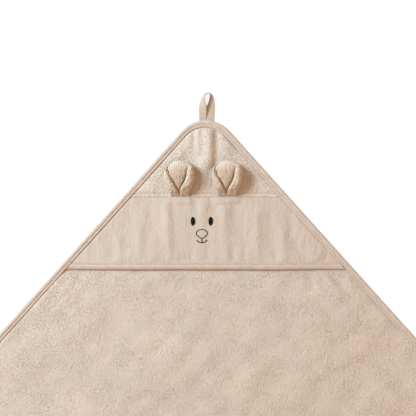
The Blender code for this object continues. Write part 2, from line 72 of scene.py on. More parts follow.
# Thickness of each cloth, also where the tape binds it, and how far each stays inside the outline.
GAP = 0.0003
TERRY = 0.0026
TERRY_BOUND = 0.0016
HOOD_CLOTH = 0.0022
HOOD_BOUND = 0.0012
TAPE = 0.0010
LAYER_ROOM = TAPE + GAP
BODY_INSET = 0.0015
HOOD_INSET = 0.0018
BINDING_WIDTH = 0.0088
BINDING_SLACK = 0.0002
BINDING_OPENS = 0.0180

# The hood: its cross seam and its opening edge, by their distance below the sharp corner of the cut.
SEAM_DROP = 0.1260
FOLD_DROP = 0.2243
SEAM_Y = APEX_Y - SEAM_DROP
FOLD_Y = APEX_Y - FOLD_DROP
HOOD_TAPE_WIDTH = 0.0083
TAPE_EDGE_Y = FOLD_Y + HOOD_TAPE_WIDTH + GAP
HOOD_TRIM = BINDING_WIDTH + 0.0006
SEAM_DIP = 0.0007
SEAM_SPREAD = 0.0030
HOOD_LOFT = 0.0016
LOFT_STARTS = 0.0120
LOFT_FULL = 0.0800

# The ears, and how the hood lies under and below them.
EAR_LENGTH = 0.0485
EAR_CENTRES = {"left": -0.0350, "right": 0.0292}
EAR_TILT = math.radians(7.0)
EAR_BASE_Y = SEAM_Y + 0.0008
EAR_REST_Y = SEAM_Y + 0.0100
EAR_CLOTH = 0.0026
EAR_CLEARANCE = 0.0004
EAR_GAP = 0.0005
EAR_SWELLS = 0.30
EAR_PUFF = 0.5
EAR_PUFF_FROM = 0.45
EAR_PUFF_FULL = 0.80
UNDER_EAR_MIDDLE = 0.0220
UNDER_EAR_EDGE = 0.0320
PATCH_HEIGHT = 0.0011
PATCH_HALF_WIDTH = 0.0165
PATCH_DROP = 0.0065

# The loop's tape, and how the towel's tip lies over its ends.
LOOP_TAPE = 0.0012
LOOP_SPARE = 0.0002
LOOP_CENTRE_X = 0.0018
TIP_LIFT = LOOP_TAPE + GAP + LOOP_SPARE
TIP_LIFT_FULL = 0.0140
TIP_LIFT_ENDS = 0.1000
LIFT_FADE = 0.0600

# Folds of the hood. Millimetres; x from the centreline at the fold's upper and lower end, the drops of
# those ends below the apex, the crest's height, and how far each flank spreads.
FOLD_FADE_OUTSIDE = 8.0
FOLD_FADE_INSIDE = 12.0
FOLD_COLUMNS = ("x_top", "x_foot", "drop_top", "drop_foot", "height", "left", "right")
FOLDS = (
    (4.0, 2.0, 30.0, 88.0, 4.2, 12.0, 7.0),
    (24.0, 33.0, 40.0, 70.0, 2.2, 7.0, 7.0),
    (-19.0, -23.0, 34.0, 66.0, 1.6, 6.0, 6.0),
    (-31.0, -37.0, 54.0, 80.0, 1.8, 8.0, 7.0),
    (-3.0, -5.0, 74.0, 112.0, 2.0, 9.0, 9.0),
    (-85.0, -92.0, 138.0, 216.0, 1.3, 8.0, 7.0),
    (-71.0, -70.0, 176.0, 220.0, 0.8, 6.0, 6.0),
    (-52.0, -50.0, 134.0, 216.0, 1.4, 8.0, 8.0),
    (-29.0, -31.0, 140.0, 206.0, 0.8, 7.0, 7.0),
    (-3.0, -9.0, 132.0, 218.0, 1.0, 8.0, 8.0),
    (25.0, 28.0, 134.0, 216.0, 1.4, 8.0, 8.0),
    (44.0, 46.0, 180.0, 220.0, 0.8, 7.0, 7.0),
    (70.0, 71.0, 140.0, 216.0, 1.3, 9.0, 8.0),
    (106.0, 108.0, 168.0, 218.0, 1.2, 9.0, 8.0),
    (143.0, 146.0, 190.0, 220.0, 1.0, 8.0, 8.0),
    (-115.0, -118.0, 178.0, 218.0, 1.1, 8.0, 8.0),
    (-136.0, -140.0, 190.0, 220.0, 0.8, 8.0, 8.0),
)

# Where the edge of the towel lifts off the surface, below the hood. Metres on the flat cut.
LIFT_COLUMNS = ("u", "v", "height", "spread")
LIFTS = (
    (-0.375, -0.375, 0.0050, 0.090),
    (0.375, -0.300, 0.0030, 0.080),
    (0.375, -0.080, 0.0022, 0.070),
    (-0.290, 0.375, 0.0034, 0.080),
    (-0.050, 0.375, 0.0020, 0.070),
    (-0.120, -0.375, 0.0026, 0.080),
    (0.130, -0.375, 0.0020, 0.070),
    (-0.375, 0.060, 0.0024, 0.080),
)

# ---------------------------------------------------------------- finer form than the solids'

# How the cloth rises beside a tape and round the patches below the ears, its thickness where an ear is
# sewn in, and how far to both sides of its middle an ear's foot fills the seam's dip.
EASE = 0.0030
PRESSED_ZONE = BINDING_WIDTH + 0.0002
EDGE_ZONE = PRESSED_ZONE + EASE
PATCH_EASE = 0.0050
PATCH_SIDE_EASE = 0.0035
EAR_CLOTH_AT_SEAM = 0.0005
EAR_FOOT_HALF_WIDTH = 0.0110
EAR_FOOT_ENDS = 0.0160

# The ear from its seam to its top. Share of the length, half width over all and radius of each rolled
# side in millimetres, how far each side rolls in degrees, and how far it then goes on.
EAR_COLUMNS = (
    "share", "half_width", "roll_left", "roll_right", "turn_left", "turn_right", "flap_left", "flap_right"
)
EAR_ROWS = (
    (0.00, 12.4, 0.3, 0.3, 180.0, 180.0, 11.0, 11.0),
    (0.04, 13.1, 1.1, 1.2, 180.0, 180.0, 10.4, 10.9),
    (0.08, 13.9, 1.9, 2.2, 180.0, 180.0, 9.4, 10.3),
    (0.14, 15.0, 2.8, 3.3, 180.0, 180.0, 8.0, 9.4),
    (0.22, 16.6, 3.5, 4.3, 180.0, 180.0, 6.3, 7.9),
    (0.34, 18.8, 4.0, 4.9, 180.0, 180.0, 4.6, 5.8),
    (0.46, 20.3, 4.1, 5.0, 176.0, 180.0, 3.4, 4.4),
    (0.58, 20.9, 4.1, 5.0, 150.0, 178.0, 2.2, 3.6),
    (0.70, 20.4, 4.0, 4.8, 84.0, 168.0, 1.6, 3.4),
    (0.81, 18.0, 3.8, 4.4, 42.0, 118.0, 1.4, 3.2),
    (0.90, 13.9, 3.6, 4.0, 22.0, 46.0, 1.4, 3.0),
    (0.96, 9.9, 3.6, 4.0, 12.0, 18.0, 1.2, 2.8),
    (1.00, 5.2, 3.6, 4.0, 5.0, 8.0, 1.0, 2.4),
)

# The loop's tape, from its left end round to its right one. Millimetres: the tape's lower and upper
# edge as x, distance above the towel's tip, and height.
LOOP_STATIONS = (
    (-8.4, -9.5, 0.0, 1.3, -9.5, 0.0),
    (-8.6, -1.0, 0.0, 1.4, -1.0, 0.2),
    (-8.9, 8.0, 0.0, 1.5, 8.0, 1.8),
    (-9.1, 17.0, 0.1, 1.3, 17.0, 5.0),
    (-7.7, 25.0, 0.1, -0.4, 25.0, 9.8),
    (-5.2, 31.0, 0.1, -1.0, 30.6, 12.4),
    (-2.0, 35.8, 0.1, 1.2, 34.4, 13.4),
    (2.8, 38.0, 0.1, 4.6, 35.8, 13.0),
    (6.6, 35.2, 0.1, 8.2, 34.2, 9.6),
    (5.8, 30.6, 0.1, 10.6, 31.0, 5.8),
    (4.2, 25.0, 0.1, 12.1, 25.0, 3.2),
    (0.7, 17.0, 0.1, 12.6, 17.0, 1.6),
    (0.9, 8.0, 0.0, 12.3, 8.0, 1.0),
    (2.1, -1.0, 0.0, 12.0, -1.0, 0.2),
    (2.2, -9.5, 0.0, 12.0, -9.5, 0.0),
)

# Section of the edge tape, round its outer side and back inside it: inset from the outline in
# millimetres, share of the height of the space inside it, millimetres above that, and how much of the
# sewn-in puckers it takes. The dip at 5.9 is where it is stitched through.
BINDING_SECTION = (
    (8.80, 1.0, 0.00, 0.0),
    (8.90, 1.0, 0.22, 0.2),
    (8.75, 1.0, 0.46, 0.4),
    (8.30, 1.0, 0.76, 0.8),
    (7.60, 1.0, 1.00, 1.0),
    (6.90, 1.0, 1.06, 0.8),
    (6.35, 1.0, 0.92, 0.4),
    (5.90, 1.0, 0.78, 0.0),
    (5.45, 1.0, 1.02, 0.4),
    (5.00, 1.0, 1.32, 0.8),
    (4.30, 1.0, 1.56, 1.0),
    (3.40, 1.0, 1.70, 1.0),
    (2.50, 1.0, 1.70, 1.0),
    (1.60, 1.0, 1.45, 1.0),
    (0.90, 1.0, 0.98, 0.8),
    (0.35, 0.85, 0.50, 0.5),
    (0.00, 0.55, 0.00, 0.2),
    (0.20, 0.20, 0.15, 0.0),
    (0.80, 0.0, 0.30, 0.0),
    (1.50, 0.0, 0.08, 0.0),
    (2.40, 0.0, 0.00, 0.0),
    (4.40, 0.0, 0.00, 0.0),
    (5.30, 0.0, 0.06, 0.0),
    (5.90, 0.0, 0.34, 0.0),
    (6.50, 0.0, 0.06, 0.0),
    (7.40, 0.0, 0.00, 0.0),
    (8.50, 0.0, 0.02, 0.0),
    (8.80, 0.0, 0.35, 0.0),
    (8.80, 0.0, 0.95, 0.0),
    (5.00, 0.0, 1.00, 0.0),
    (1.60, 0.0, 1.00, 0.0),
    (1.20, 0.0, 1.20, 0.0),
    (1.20, 1.0, -0.20, 0.0),
    (1.60, 1.0, 0.00, 0.0),
    (5.00, 1.0, 0.00, 0.0),
)
BINDING_STITCH_INSET = 5.9 * MM
BINDING_STITCH_DIP = 0.78 * MM
BINDING_STITCH_UNDER = 0.34 * MM

# Section of the tape over the hood's opening edge: millimetres up the hood from the fold, above the
# towel, and how much of the puckers it takes. The dip at 7.1 is where it is stitched through.
HOOD_TAPE_SECTION = (
    (8.30, 0.00, 0.0),
    (5.00, 0.00, 0.0),
    (2.00, 0.00, 0.0),
    (1.20, 0.04, 0.0),
    (0.60, 0.22, 0.0),
    (0.20, 0.60, 0.1),
    (0.00, 1.05, 0.3),
    (0.10, 1.55, 0.5),
    (0.40, 2.10, 0.7),
    (0.90, 2.65, 0.9),
    (1.60, 3.18, 1.0),
    (2.40, 3.56, 1.0),
    (3.40, 3.94, 1.0),
    (4.40, 4.22, 1.0),
    (5.30, 4.28, 1.0),
    (6.00, 4.08, 0.8),
    (6.60, 3.62, 0.4),
    (7.10, 3.20, 0.0),
    (7.60, 3.50, 0.4),
    (8.00, 3.66, 0.6),
    (8.35, 3.46, 0.4),
    (8.35, 3.12, 0.2),
    (8.30, 2.80, 0.0),
    (5.00, 2.80, 0.0),
    (1.80, 2.80, 0.0),
    (1.30, 2.30, 0.0),
    (1.20, 1.40, 0.0),
    (1.60, 1.00, 0.0),
    (5.00, 1.00, 0.0),
)
HOOD_TAPE_STITCH_UP = 7.1 * MM
HOOD_TAPE_STITCH_HEIGHT = 3.20 * MM

# Smaller creases of the hood, each from one end to the other. Millimetres: x and drop of both ends,
# height of the crest, or depth of the trough where it is negative, and how far each side spreads.
CREASE_COLUMNS = ("x", "drop", "x_end", "drop_end", "height", "left", "right")
CREASES = (
    # the tip, fanning out from under the binding
    (8.5, 32.0, 8.0, 84.0, 1.2, 5.0, 4.0),
    (16.5, 36.0, 15.0, 84.0, -0.8, 4.0, 5.0),
    (-10.0, 28.0, -11.0, 66.0, 1.0, 3.5, 3.5),
    (-4.0, 30.0, -3.5, 70.0, -0.8, 3.0, 3.0),
    (-16.0, 32.0, -17.0, 58.0, -0.7, 3.0, 3.0),
    (19.0, 38.0, 22.0, 60.0, 0.7, 3.5, 3.0),
    (33.0, 52.0, 52.0, 86.0, 0.7, 6.0, 5.0),
    (-45.0, 66.0, -58.0, 98.0, 0.7, 6.0, 5.0),
    (-58.0, 92.0, -76.0, 116.0, 0.5, 6.0, 5.0),
    (66.0, 92.0, 82.0, 118.0, 0.5, 6.0, 6.0),
    # along the binding of the right side
    (118.0, 160.0, 114.0, 182.0, -0.4, 4.0, 4.0),
    (133.0, 176.0, 128.0, 196.0, 0.45, 3.5, 3.5),
    (144.0, 180.0, 143.0, 196.0, -0.5, 3.0, 3.0),
    (158.0, 196.0, 151.0, 212.0, 0.6, 3.5, 3.0),
    (166.0, 203.0, 160.0, 215.0, -0.5, 2.5, 2.5),
    # along the binding of the left side
    (-110.0, 150.0, -100.0, 166.0, 0.4, 4.0, 4.0),
    (-128.0, 166.0, -118.0, 186.0, 0.5, 4.0, 3.5),
    (-146.0, 182.0, -134.0, 204.0, 0.5, 4.0, 3.5),
    # above the tape of the opening edge
    (-101.0, 200.0, -103.0, 216.0, 0.5, 4.0, 4.0),
    (-60.0, 196.0, -61.0, 216.0, 0.5, 4.0, 4.5),
    (-38.0, 202.0, -39.0, 217.0, 0.4, 4.0, 4.0),
    (12.0, 198.0, 11.0, 217.0, 0.5, 4.5, 4.0),
    (36.0, 200.0, 37.0, 217.0, -0.5, 4.0, 3.5),
    (58.0, 196.0, 60.0, 217.0, 0.6, 4.0, 4.5),
    (88.0, 198.0, 90.0, 217.0, 0.6, 4.5, 4.0),
    (124.0, 204.0, 127.0, 217.0, 0.6, 4.0, 4.0),
    # broad and soft ones between them
    (44.0, 134.0, 45.0, 196.0, -1.1, 11.0, 9.0),
    (-52.0, 136.0, -50.0, 190.0, 0.7, 10.0, 6.0),
    (-29.0, 142.0, -31.0, 200.0, -0.5, 7.0, 7.0),
    (-4.0, 150.0, -9.0, 216.0, -0.5, 8.0, 8.0),
    (-108.0, 160.0, -112.0, 204.0, -0.6, 7.0, 9.0),
    (88.0, 150.0, 92.0, 206.0, -0.6, 9.0, 7.0),
    # below the cross seam
    (-46.0, 128.0, -47.0, 142.0, -0.5, 5.0, 5.0),
    (-14.0, 128.0, -13.0, 146.0, -0.6, 5.0, 5.0),
    (8.0, 129.0, 12.0, 150.0, -0.5, 5.0, 6.0),
    (54.0, 128.0, 58.0, 150.0, -0.5, 6.0, 6.0),
    (86.0, 130.0, 92.0, 156.0, -0.4, 6.0, 6.0),
    (-74.0, 130.0, -76.0, 152.0, -0.4, 6.0, 6.0),
)
CREASE_FADE = 7.0  # millimetres over which a crease fades at each end

# Long soft waves of the main panel, clear of the hood. Metres on the flat cut: the middle of each, its
# direction in degrees, height, and how far it reaches along and across.
WAVE_COLUMNS = ("u", "v", "direction", "height", "reach", "spread")
WAVES = (
    (0.060, 0.010, -20.0, 0.0010, 0.140, 0.022),
    (-0.060, 0.190, 35.0, 0.0009, 0.120, 0.020),
    (0.190, -0.060, 60.0, 0.0010, 0.110, 0.024),
    (-0.160, 0.020, 10.0, 0.0012, 0.160, 0.026),
    (0.010, -0.180, -50.0, 0.0011, 0.150, 0.024),
    (-0.220, -0.160, 40.0, 0.0012, 0.140, 0.028),
    (0.220, -0.220, 80.0, 0.0009, 0.120, 0.024),
    (-0.240, 0.220, -10.0, 0.0009, 0.120, 0.022),
)
# Distances below the hood at which they start and are full, and over which they end at the bound edge.
WAVES_START = 0.004
WAVES_FULL = 0.040
WAVES_EASE = 0.030

# Creases that run from the hood's corners out over the main panel. Millimetres: both ends, height, spread.
DRAG_COLUMNS = ("x", "y", "x_end", "y_end", "height", "spread")
DRAG_LINES = (
    (158.0, 331.0, 192.0, 286.0, 1.6, 5.0),
    (166.0, 331.0, 206.0, 292.0, -0.8, 4.0),
    (148.0, 330.0, 160.0, 292.0, 0.9, 5.5),
    (130.0, 330.0, 136.0, 304.0, 0.6, 6.0),
    (-170.0, 331.0, -205.0, 290.0, 1.2, 5.0),
    (-158.0, 330.0, -178.0, 294.0, 0.7, 5.5),
    (-60.0, 330.0, -66.0, 306.0, 0.5, 6.0),
    (40.0, 330.0, 44.0, 308.0, 0.5, 6.5),
)
# Shares of such a crease's length at which it is full and starts to fade, and its distance off the edge.
DRAG_RISES = 0.3
DRAG_FADES = 0.5
DRAG_CLEARANCE = 0.004

# The row sewn beside the cross seam: how far above it, and the groove it presses.
SEAM_STITCH_RISE = 0.0049
SEAM_STITCH_DIP = 0.0009
SEAM_STITCH_SPREAD = 0.0014

# The embroidered face: the point between its eyes, and in millimetres the eyes' places and sizes.
FACE_X = -0.0050
FACE_Y = 0.3986
EYE_SPREAD = 12.0
EYE_HALF_WIDTH = 3.5
EYE_HALF_HEIGHT = 6.0


# ---------------------------------------------------------------- what a user would change

COLOUR = {"subtype": "COLOR", "min": 0, "max": 1}


class TowelCloth(bpy.types.PropertyGroup):
    """Sizes of the pile, the tape's puckers and the stitches."""

    pile_relief: FloatProperty(
        name="Pile relief",
        description="How far clumps of terry loops stand off the cloth",
        default=0.00030,
        unit="LENGTH",
    )
    swell: FloatProperty(
        name="Swell",
        description="How far the laid cloth swells off the surface between its edges",
        default=0.0030,
        unit="LENGTH",
    )
    clump_size: FloatProperty(
        name="Clump size",
        description="How far across a clump of terry loops is",
        default=0.0032,
        unit="LENGTH",
    )
    loop_size: FloatProperty(
        name="Loop size",
        description="How far across one loop of the terry is",
        default=0.00105,
        unit="LENGTH",
    )
    tape_pucker: FloatProperty(
        name="Tape pucker",
        description="How far sewing puckers raise the tape",
        default=0.00045,
        unit="LENGTH",
    )
    stitch_pitch: FloatProperty(
        name="Stitch pitch",
        description="Distance from one topstitch to the next",
        default=0.0030,
        unit="LENGTH",
    )
    stitch_length: FloatProperty(
        name="Stitch length",
        description="Length of thread that shows in one topstitch",
        default=0.0025,
        unit="LENGTH",
    )
    thread_radius: FloatProperty(
        name="Thread radius",
        description="Radius of the sewing thread",
        default=0.00020,
        unit="LENGTH",
    )
    seed: IntProperty(
        name="Seed",
        description="Seed of everything uneven",
        default=11,
        min=0,
    )


class TowelColours(bpy.types.PropertyGroup):
    """Colours of the cloths and threads."""

    terry: FloatVectorProperty(
        name="Terry",
        description="Looped cotton of the towel",
        default=(0.648, 0.562, 0.560),
        **COLOUR,
    )
    hood_terry: FloatVectorProperty(
        name="Hood terry",
        description="Looped cotton of the hood's tip",
        default=(0.678, 0.600, 0.604),
        **COLOUR,
    )
    ear_terry: FloatVectorProperty(
        name="Ear terry",
        description="Looped cotton of the ears",
        default=(0.775, 0.640, 0.592),
        **COLOUR,
    )
    hood_cloth: FloatVectorProperty(
        name="Hood cloth",
        description="Short-piled cotton of the hood's lower panel",
        default=(0.568, 0.477, 0.450),
        **COLOUR,
    )
    loop_tape: FloatVectorProperty(
        name="Loop tape",
        description="Tape of the hanging loop",
        default=(0.555, 0.455, 0.385),
        **COLOUR,
    )
    tape: FloatVectorProperty(
        name="Tape",
        description="Bias tape over the edges",
        default=(0.615, 0.510, 0.470),
        **COLOUR,
    )
    ear_lining: FloatVectorProperty(
        name="Ear lining",
        description="Short-piled cotton inside the ears",
        default=(0.600, 0.468, 0.392),
        **COLOUR,
    )
    sewing_thread: FloatVectorProperty(
        name="Sewing thread",
        description="Thread of the topstitching",
        default=(0.460, 0.350, 0.265),
        **COLOUR,
    )
    embroidery: FloatVectorProperty(
        name="Embroidery thread",
        description="Thread of the face",
        default=(0.008, 0.005, 0.004),
        **COLOUR,
    )


class TowelStage(bpy.types.PropertyGroup):
    """Camera, light and floor."""

    camera_height: FloatProperty(
        name="Camera height",
        description="Height of the camera over the surface the towel lies on",
        default=1.336,
        unit="LENGTH",
    )
    lens: FloatProperty(
        name="Lens",
        description="Focal length of the camera",
        default=85.0,
        unit="CAMERA",
    )
    key_power: FloatProperty(
        name="Key light",
        description="Power of the light on the left",
        default=106.0,
        unit="POWER",
    )
    key_size: FloatProperty(
        name="Key size",
        description="Width of the light on the left",
        default=1.10,
        unit="LENGTH",
    )
    sky_strength: FloatProperty(
        name="Sky",
        description="Strength of the even light from all round",
        default=0.72,
    )
    key_colour: FloatVectorProperty(
        name="Key colour",
        description="Colour of the light on the left",
        default=(0.66, 0.895, 1.0),
        **COLOUR,
    )
    sky_colour: FloatVectorProperty(
        name="Sky colour",
        description="Colour of the even light from all round",
        default=(1.0, 0.71, 0.46),
        **COLOUR,
    )
    floor_glow: FloatProperty(
        name="Floor glow",
        description="Light of the surface itself, as on a light table",
        default=0.80,
    )
    floor: FloatVectorProperty(
        name="Floor",
        description="Colour of the surface the towel lies on",
        default=(0.30, 0.30, 0.30),
        **COLOUR,
    )


# ---------------------------------------------------------------- numbers


def ease(value, low, high):
    """0 below low, 1 above high, and a smooth step between."""
    share = np.clip((value - low) / (high - low), 0.0, 1.0)
    return share * share * (3 - 2 * share)


def bell(distance, spread):
    """1 at no distance, falling off smoothly over the spread."""
    return np.exp(-((distance / spread) ** 2))


def table(columns, rows):
    """Rows of numbers as dictionaries with the columns' names."""
    return [dict(zip(columns, row)) for row in rows]


def unevenness(x, y, size, seed):
    """Smooth random relief from about -1 to 1, with hills about as far apart as size says."""
    lattice = 256
    to_full_height = 1.6
    turn = np.random.default_rng(seed).uniform(0, 2 * math.pi, (lattice, lattice))
    x = np.asarray(x, float) / size
    y = np.asarray(y, float) / size
    column = np.floor(x).astype(int)
    row = np.floor(y).astype(int)
    dx = x - column
    dy = y - row
    blend_x = dx * dx * (3 - 2 * dx)
    blend_y = dy * dy * (3 - 2 * dy)
    total = 0.0
    for right in (0, 1):
        for up in (0, 1):
            angle = turn[(row + up) % lattice, (column + right) % lattice]
            slope = np.cos(angle) * (dx - right) + np.sin(angle) * (dy - up)
            share = (blend_x if right else 1 - blend_x) * (blend_y if up else 1 - blend_y)
            total = total + slope * share
    return to_full_height * total


def hills(x, y, layers, seed, unit=1.0):
    """Unevenness in layers. Each has a height, a size in units, how much y counts, and its own seed."""
    return sum(
        height * unevenness(x, much * y, size * unit, seed + own) for height, size, much, own in layers
    )


def through(rows, steps):
    """A smooth curve through rows of numbers, with this many steps between two of them."""
    rows = np.asarray(rows, float)
    padded = np.concatenate((rows[:1], rows, rows[-1:]))
    share = (np.arange(steps) / steps)[:, None]
    stretches = []
    for k in range(len(rows) - 1):
        a, b, c, d = padded[k : k + 4]
        linear = (c - a) * share
        square = (2 * a - 5 * b + 4 * c - d) * share**2
        cubic = (3 * b - a - 3 * c + d) * share**3
        stretches.append(0.5 * (2 * b + linear + square + cubic))
    stretches.append(rows[-1:])
    return np.concatenate(stretches)


# ---------------------------------------------------------------- places on the cloth


def bias(u, v):
    """The flat cut's point (u, v) after the cloth is drawn out along its hooded diagonal."""
    return (u - v) * ACROSS, (u + v) * ALONG


def flat_place(x, y):
    """The flat cut's point that lies at (x, y)."""
    return (x / ACROSS + y / ALONG) / 2, (y / ALONG - x / ACROSS) / 2


def inset_at(x, y):
    """How far inside the outline a place lies, measured on the flat cut."""
    u, v = (np.abs(part) for part in flat_place(x, y))
    corner = CORNER_RADIUS - np.hypot(u - CORE, v - CORE)
    return np.where((u > CORE) & (v > CORE), corner, SIDE / 2 - np.maximum(u, v))


def half_width(y, inset):
    """Half the width at height y of the line that runs this far inside the outline, near the hood."""
    radius = CORNER_RADIUS - inset
    straight = ACROSS * (SIDE - 2 * inset - y / ALONG)
    rise = np.clip((y - 2 * CORE * ALONG) / (math.sqrt(2) * radius * ALONG), 0.0, 1.0)
    arc = math.sqrt(2) * radius * ACROSS * np.sqrt(1 - rise * rise)
    return np.where(y <= (2 * CORE + radius) * ALONG, straight, arc)


def rounded(u, v):
    """A point of the square with sharp corners carried to the same inset in the one with round corners."""
    past_u = np.abs(u) - CORE
    past_v = np.abs(v) - CORE
    reach = np.maximum(past_u, past_v)
    both = (past_u > 0) & (past_v > 0)
    low = np.where(both, past_v / np.where(past_u > 0, past_u, 1.0), 0.0)
    high = np.where(both, past_u / np.where(past_v > 0, past_v, 1.0), 0.0)
    angle = math.pi / 4 * np.where(past_u >= past_v, low, 2 - high)
    return (
        np.where(both, np.sign(u) * (CORE + reach * np.cos(angle)), u),
        np.where(both, np.sign(v) * (CORE + reach * np.sin(angle)), v),
    )


def drawn_in(line, inset):
    """A grid line moved in from the outline: lines past the corners' centres close up evenly."""
    past = np.abs(line) - CORE
    moved = np.sign(line) * (CORE + past * (1 - inset / CORNER_RADIUS))
    return np.where(past <= 0, line, moved)


def outline(along, inset):
    """Points this far inside the flat cut's outline; along is measured round its outer edge."""
    lap = 2 * CORE + math.pi / 2 * CORNER_RADIUS
    side = np.floor(along / lap)
    on = along - side * lap
    turn = np.clip((on - 2 * CORE) / CORNER_RADIUS, 0.0, math.pi / 2)
    reach = CORNER_RADIUS - inset
    p = np.minimum(on, 2 * CORE) - CORE + reach * np.sin(turn)
    q = CORE + reach * np.cos(turn)
    heading = side * math.pi / 2
    return p * np.cos(heading) + q * np.sin(heading), p * np.sin(heading) - q * np.cos(heading)


def by_line(from_x, from_y, run_x, run_y):
    """How far a place lies along and beside a line from its start, and the line's length."""
    length = math.hypot(run_x, run_y)
    along = (from_x * run_x + from_y * run_y) / length
    beside = (from_x * run_y - from_y * run_x) / length
    return along, beside, length


# ---------------------------------------------------------------- heights


def lift(x, y):
    """How far the towel's underside stands off the surface."""
    u, v = flat_place(x, y)
    from_loop = np.hypot(x - LOOP_CENTRE_X, y - TIP_Y)
    height = TIP_LIFT * (1 - ease(from_loop, TIP_LIFT_FULL, TIP_LIFT_ENDS))
    away = ease(FOLD_Y - y, 0.0, LIFT_FADE)
    for row in table(LIFT_COLUMNS, LIFTS):
        height = height + away * row["height"] * bell(np.hypot(u - row["u"], v - row["v"]), row["spread"])
    return height


def pressed(x, y):
    """1 where the edge tape binds the cloth, and 0 inside it."""
    return 1 - ease(inset_at(x, y), PRESSED_ZONE, EDGE_ZONE)


def body_under(x, y):
    """Height of the main panel's underside."""
    return lift(x, y) + pressed(x, y) * LAYER_ROOM


def body_over(x, y):
    """Height of the main panel's upper side, before its swell."""
    flat = pressed(x, y)
    return lift(x, y) + flat * (LAYER_ROOM + TERRY_BOUND) + (1 - flat) * TERRY


def in_hood_tape(y):
    """1 where the opening edge's tape binds the hood, and 0 above it."""
    return 1 - ease(y - FOLD_Y, HOOD_TAPE_WIDTH + GAP, HOOD_TAPE_WIDTH + GAP + 2 * EASE)


def folds(x, y):
    """The hood's folds, as the solids have them."""
    drop = (APEX_Y - y) / MM
    height = 0.0
    for row in table(FOLD_COLUMNS, FOLDS):
        share = np.clip((drop - row["drop_top"]) / (row["drop_foot"] - row["drop_top"]), 0.0, 1.0)
        beside = x / MM - row["x_top"] - share * (row["x_foot"] - row["x_top"])
        spread = np.where(beside < 0, row["left"], row["right"])
        fade = ease(drop, row["drop_top"] - FOLD_FADE_OUTSIDE, row["drop_top"] + FOLD_FADE_INSIDE)
        foot = row["drop_foot"]
        fade = fade * (1 - ease(drop, foot - FOLD_FADE_INSIDE, foot + FOLD_FADE_OUTSIDE))
        height = height + row["height"] * MM * fade * bell(beside, spread)
    return height


def creases(x, y):
    """The hood's smaller creases, which the solids leave out."""
    drop = (APEX_Y - y) / MM
    height = 0.0
    for row in table(CREASE_COLUMNS, CREASES):
        run_x = row["x_end"] - row["x"]
        run_y = row["drop_end"] - row["drop"]
        along, beside, length = by_line(x / MM - row["x"], drop - row["drop"], run_x, run_y)
        spread = np.where(beside < 0, row["left"], row["right"])
        fade = ease(along, -CREASE_FADE, CREASE_FADE / 2)
        fade = fade * (1 - ease(along, length - CREASE_FADE / 2, length + CREASE_FADE))
        height = height + row["height"] * MM * fade * bell(beside, spread)
    return height


def drag_lines(x, y):
    """Short creases of the main panel where the hood's corners pull on it."""
    height = 0.0
    for row in table(DRAG_COLUMNS, DRAG_LINES):
        run_x = row["x_end"] - row["x"]
        run_y = row["y_end"] - row["y"]
        along, beside, length = by_line(x / MM - row["x"], y / MM - row["y"], run_x, run_y)
        rises = ease(along, 0.0, DRAG_RISES * length)
        fade = rises * (1 - ease(along, DRAG_FADES * length, length))
        height = height + row["height"] * MM * fade * bell(beside, row["spread"])
    return height * ease(inset_at(x, y), PRESSED_ZONE, EDGE_ZONE + DRAG_CLEARANCE)


def waves(x, y):
    """The main panel's long soft waves, clear of the hood and of the bound edge."""
    u, v = flat_place(x, y)
    height = 0.0
    for row in table(WAVE_COLUMNS, WAVES):
        heading = math.radians(row["direction"])
        along = (u - row["u"]) * math.cos(heading) + (v - row["v"]) * math.sin(heading)
        beside = (v - row["v"]) * math.cos(heading) - (u - row["u"]) * math.sin(heading)
        height = height + row["height"] * bell(along, row["reach"]) * bell(beside, row["spread"])
    clear_of_hood = ease(FOLD_Y - y, WAVES_START, WAVES_FULL)
    return height * clear_of_hood * ease(inset_at(x, y), EDGE_ZONE, EDGE_ZONE + WAVES_EASE)


def under_ears(x, y):
    """1 under the ears, where the hood lies flat, and 0 clear of them."""
    above = y - SEAM_Y - UNDER_EAR_MIDDLE
    shares = [
        1 - ease(np.hypot(x - centre, above), UNDER_EAR_MIDDLE, UNDER_EAR_EDGE)
        for centre in EAR_CENTRES.values()
    ]
    return np.where(y < SEAM_Y, 0.0, np.maximum(*shares))


def ear_patches(x, y):
    """The raised patches below the seam, where the ears' allowances lie under the cloth."""
    below = SEAM_Y - y
    height = PATCH_HEIGHT * (1 - ease(below, PATCH_DROP, PATCH_DROP + PATCH_EASE))
    shares = [
        1 - ease(np.abs(x - centre), PATCH_HALF_WIDTH - PATCH_SIDE_EASE, PATCH_HALF_WIDTH + PATCH_SIDE_EASE)
        for centre in EAR_CENTRES.values()
    ]
    return np.where(below < 0, 0.0, height * np.maximum(*shares))


def beside_ears(x):
    """1 across the foot of each ear, where its layers fill the seam's dip, and 0 clear of them."""
    feet = [
        1 - ease(np.abs(x - centre), EAR_FOOT_HALF_WIDTH, EAR_FOOT_ENDS) for centre in EAR_CENTRES.values()
    ]
    return np.maximum(*feet)


def loft(x, y):
    """How far the loose hood stands off the main panel."""
    return HOOD_LOFT * ease(inset_at(x, y), LOFT_STARTS, LOFT_FULL)


def hood_under(x, y):
    """Height of the hood's underside."""
    free = 1 - pressed(x, y)
    in_tape = in_hood_tape(y) * np.where(y > FOLD_Y + HOOD_TAPE_WIDTH + 2 * GAP, free, 1.0)
    loose = (folds(x, y) + creases(x, y)) * (1 - under_ears(x, y)) * (1 - in_tape) + ear_patches(x, y)
    return body_over(x, y) + GAP + loft(x, y) + free * loose + in_tape * LAYER_ROOM


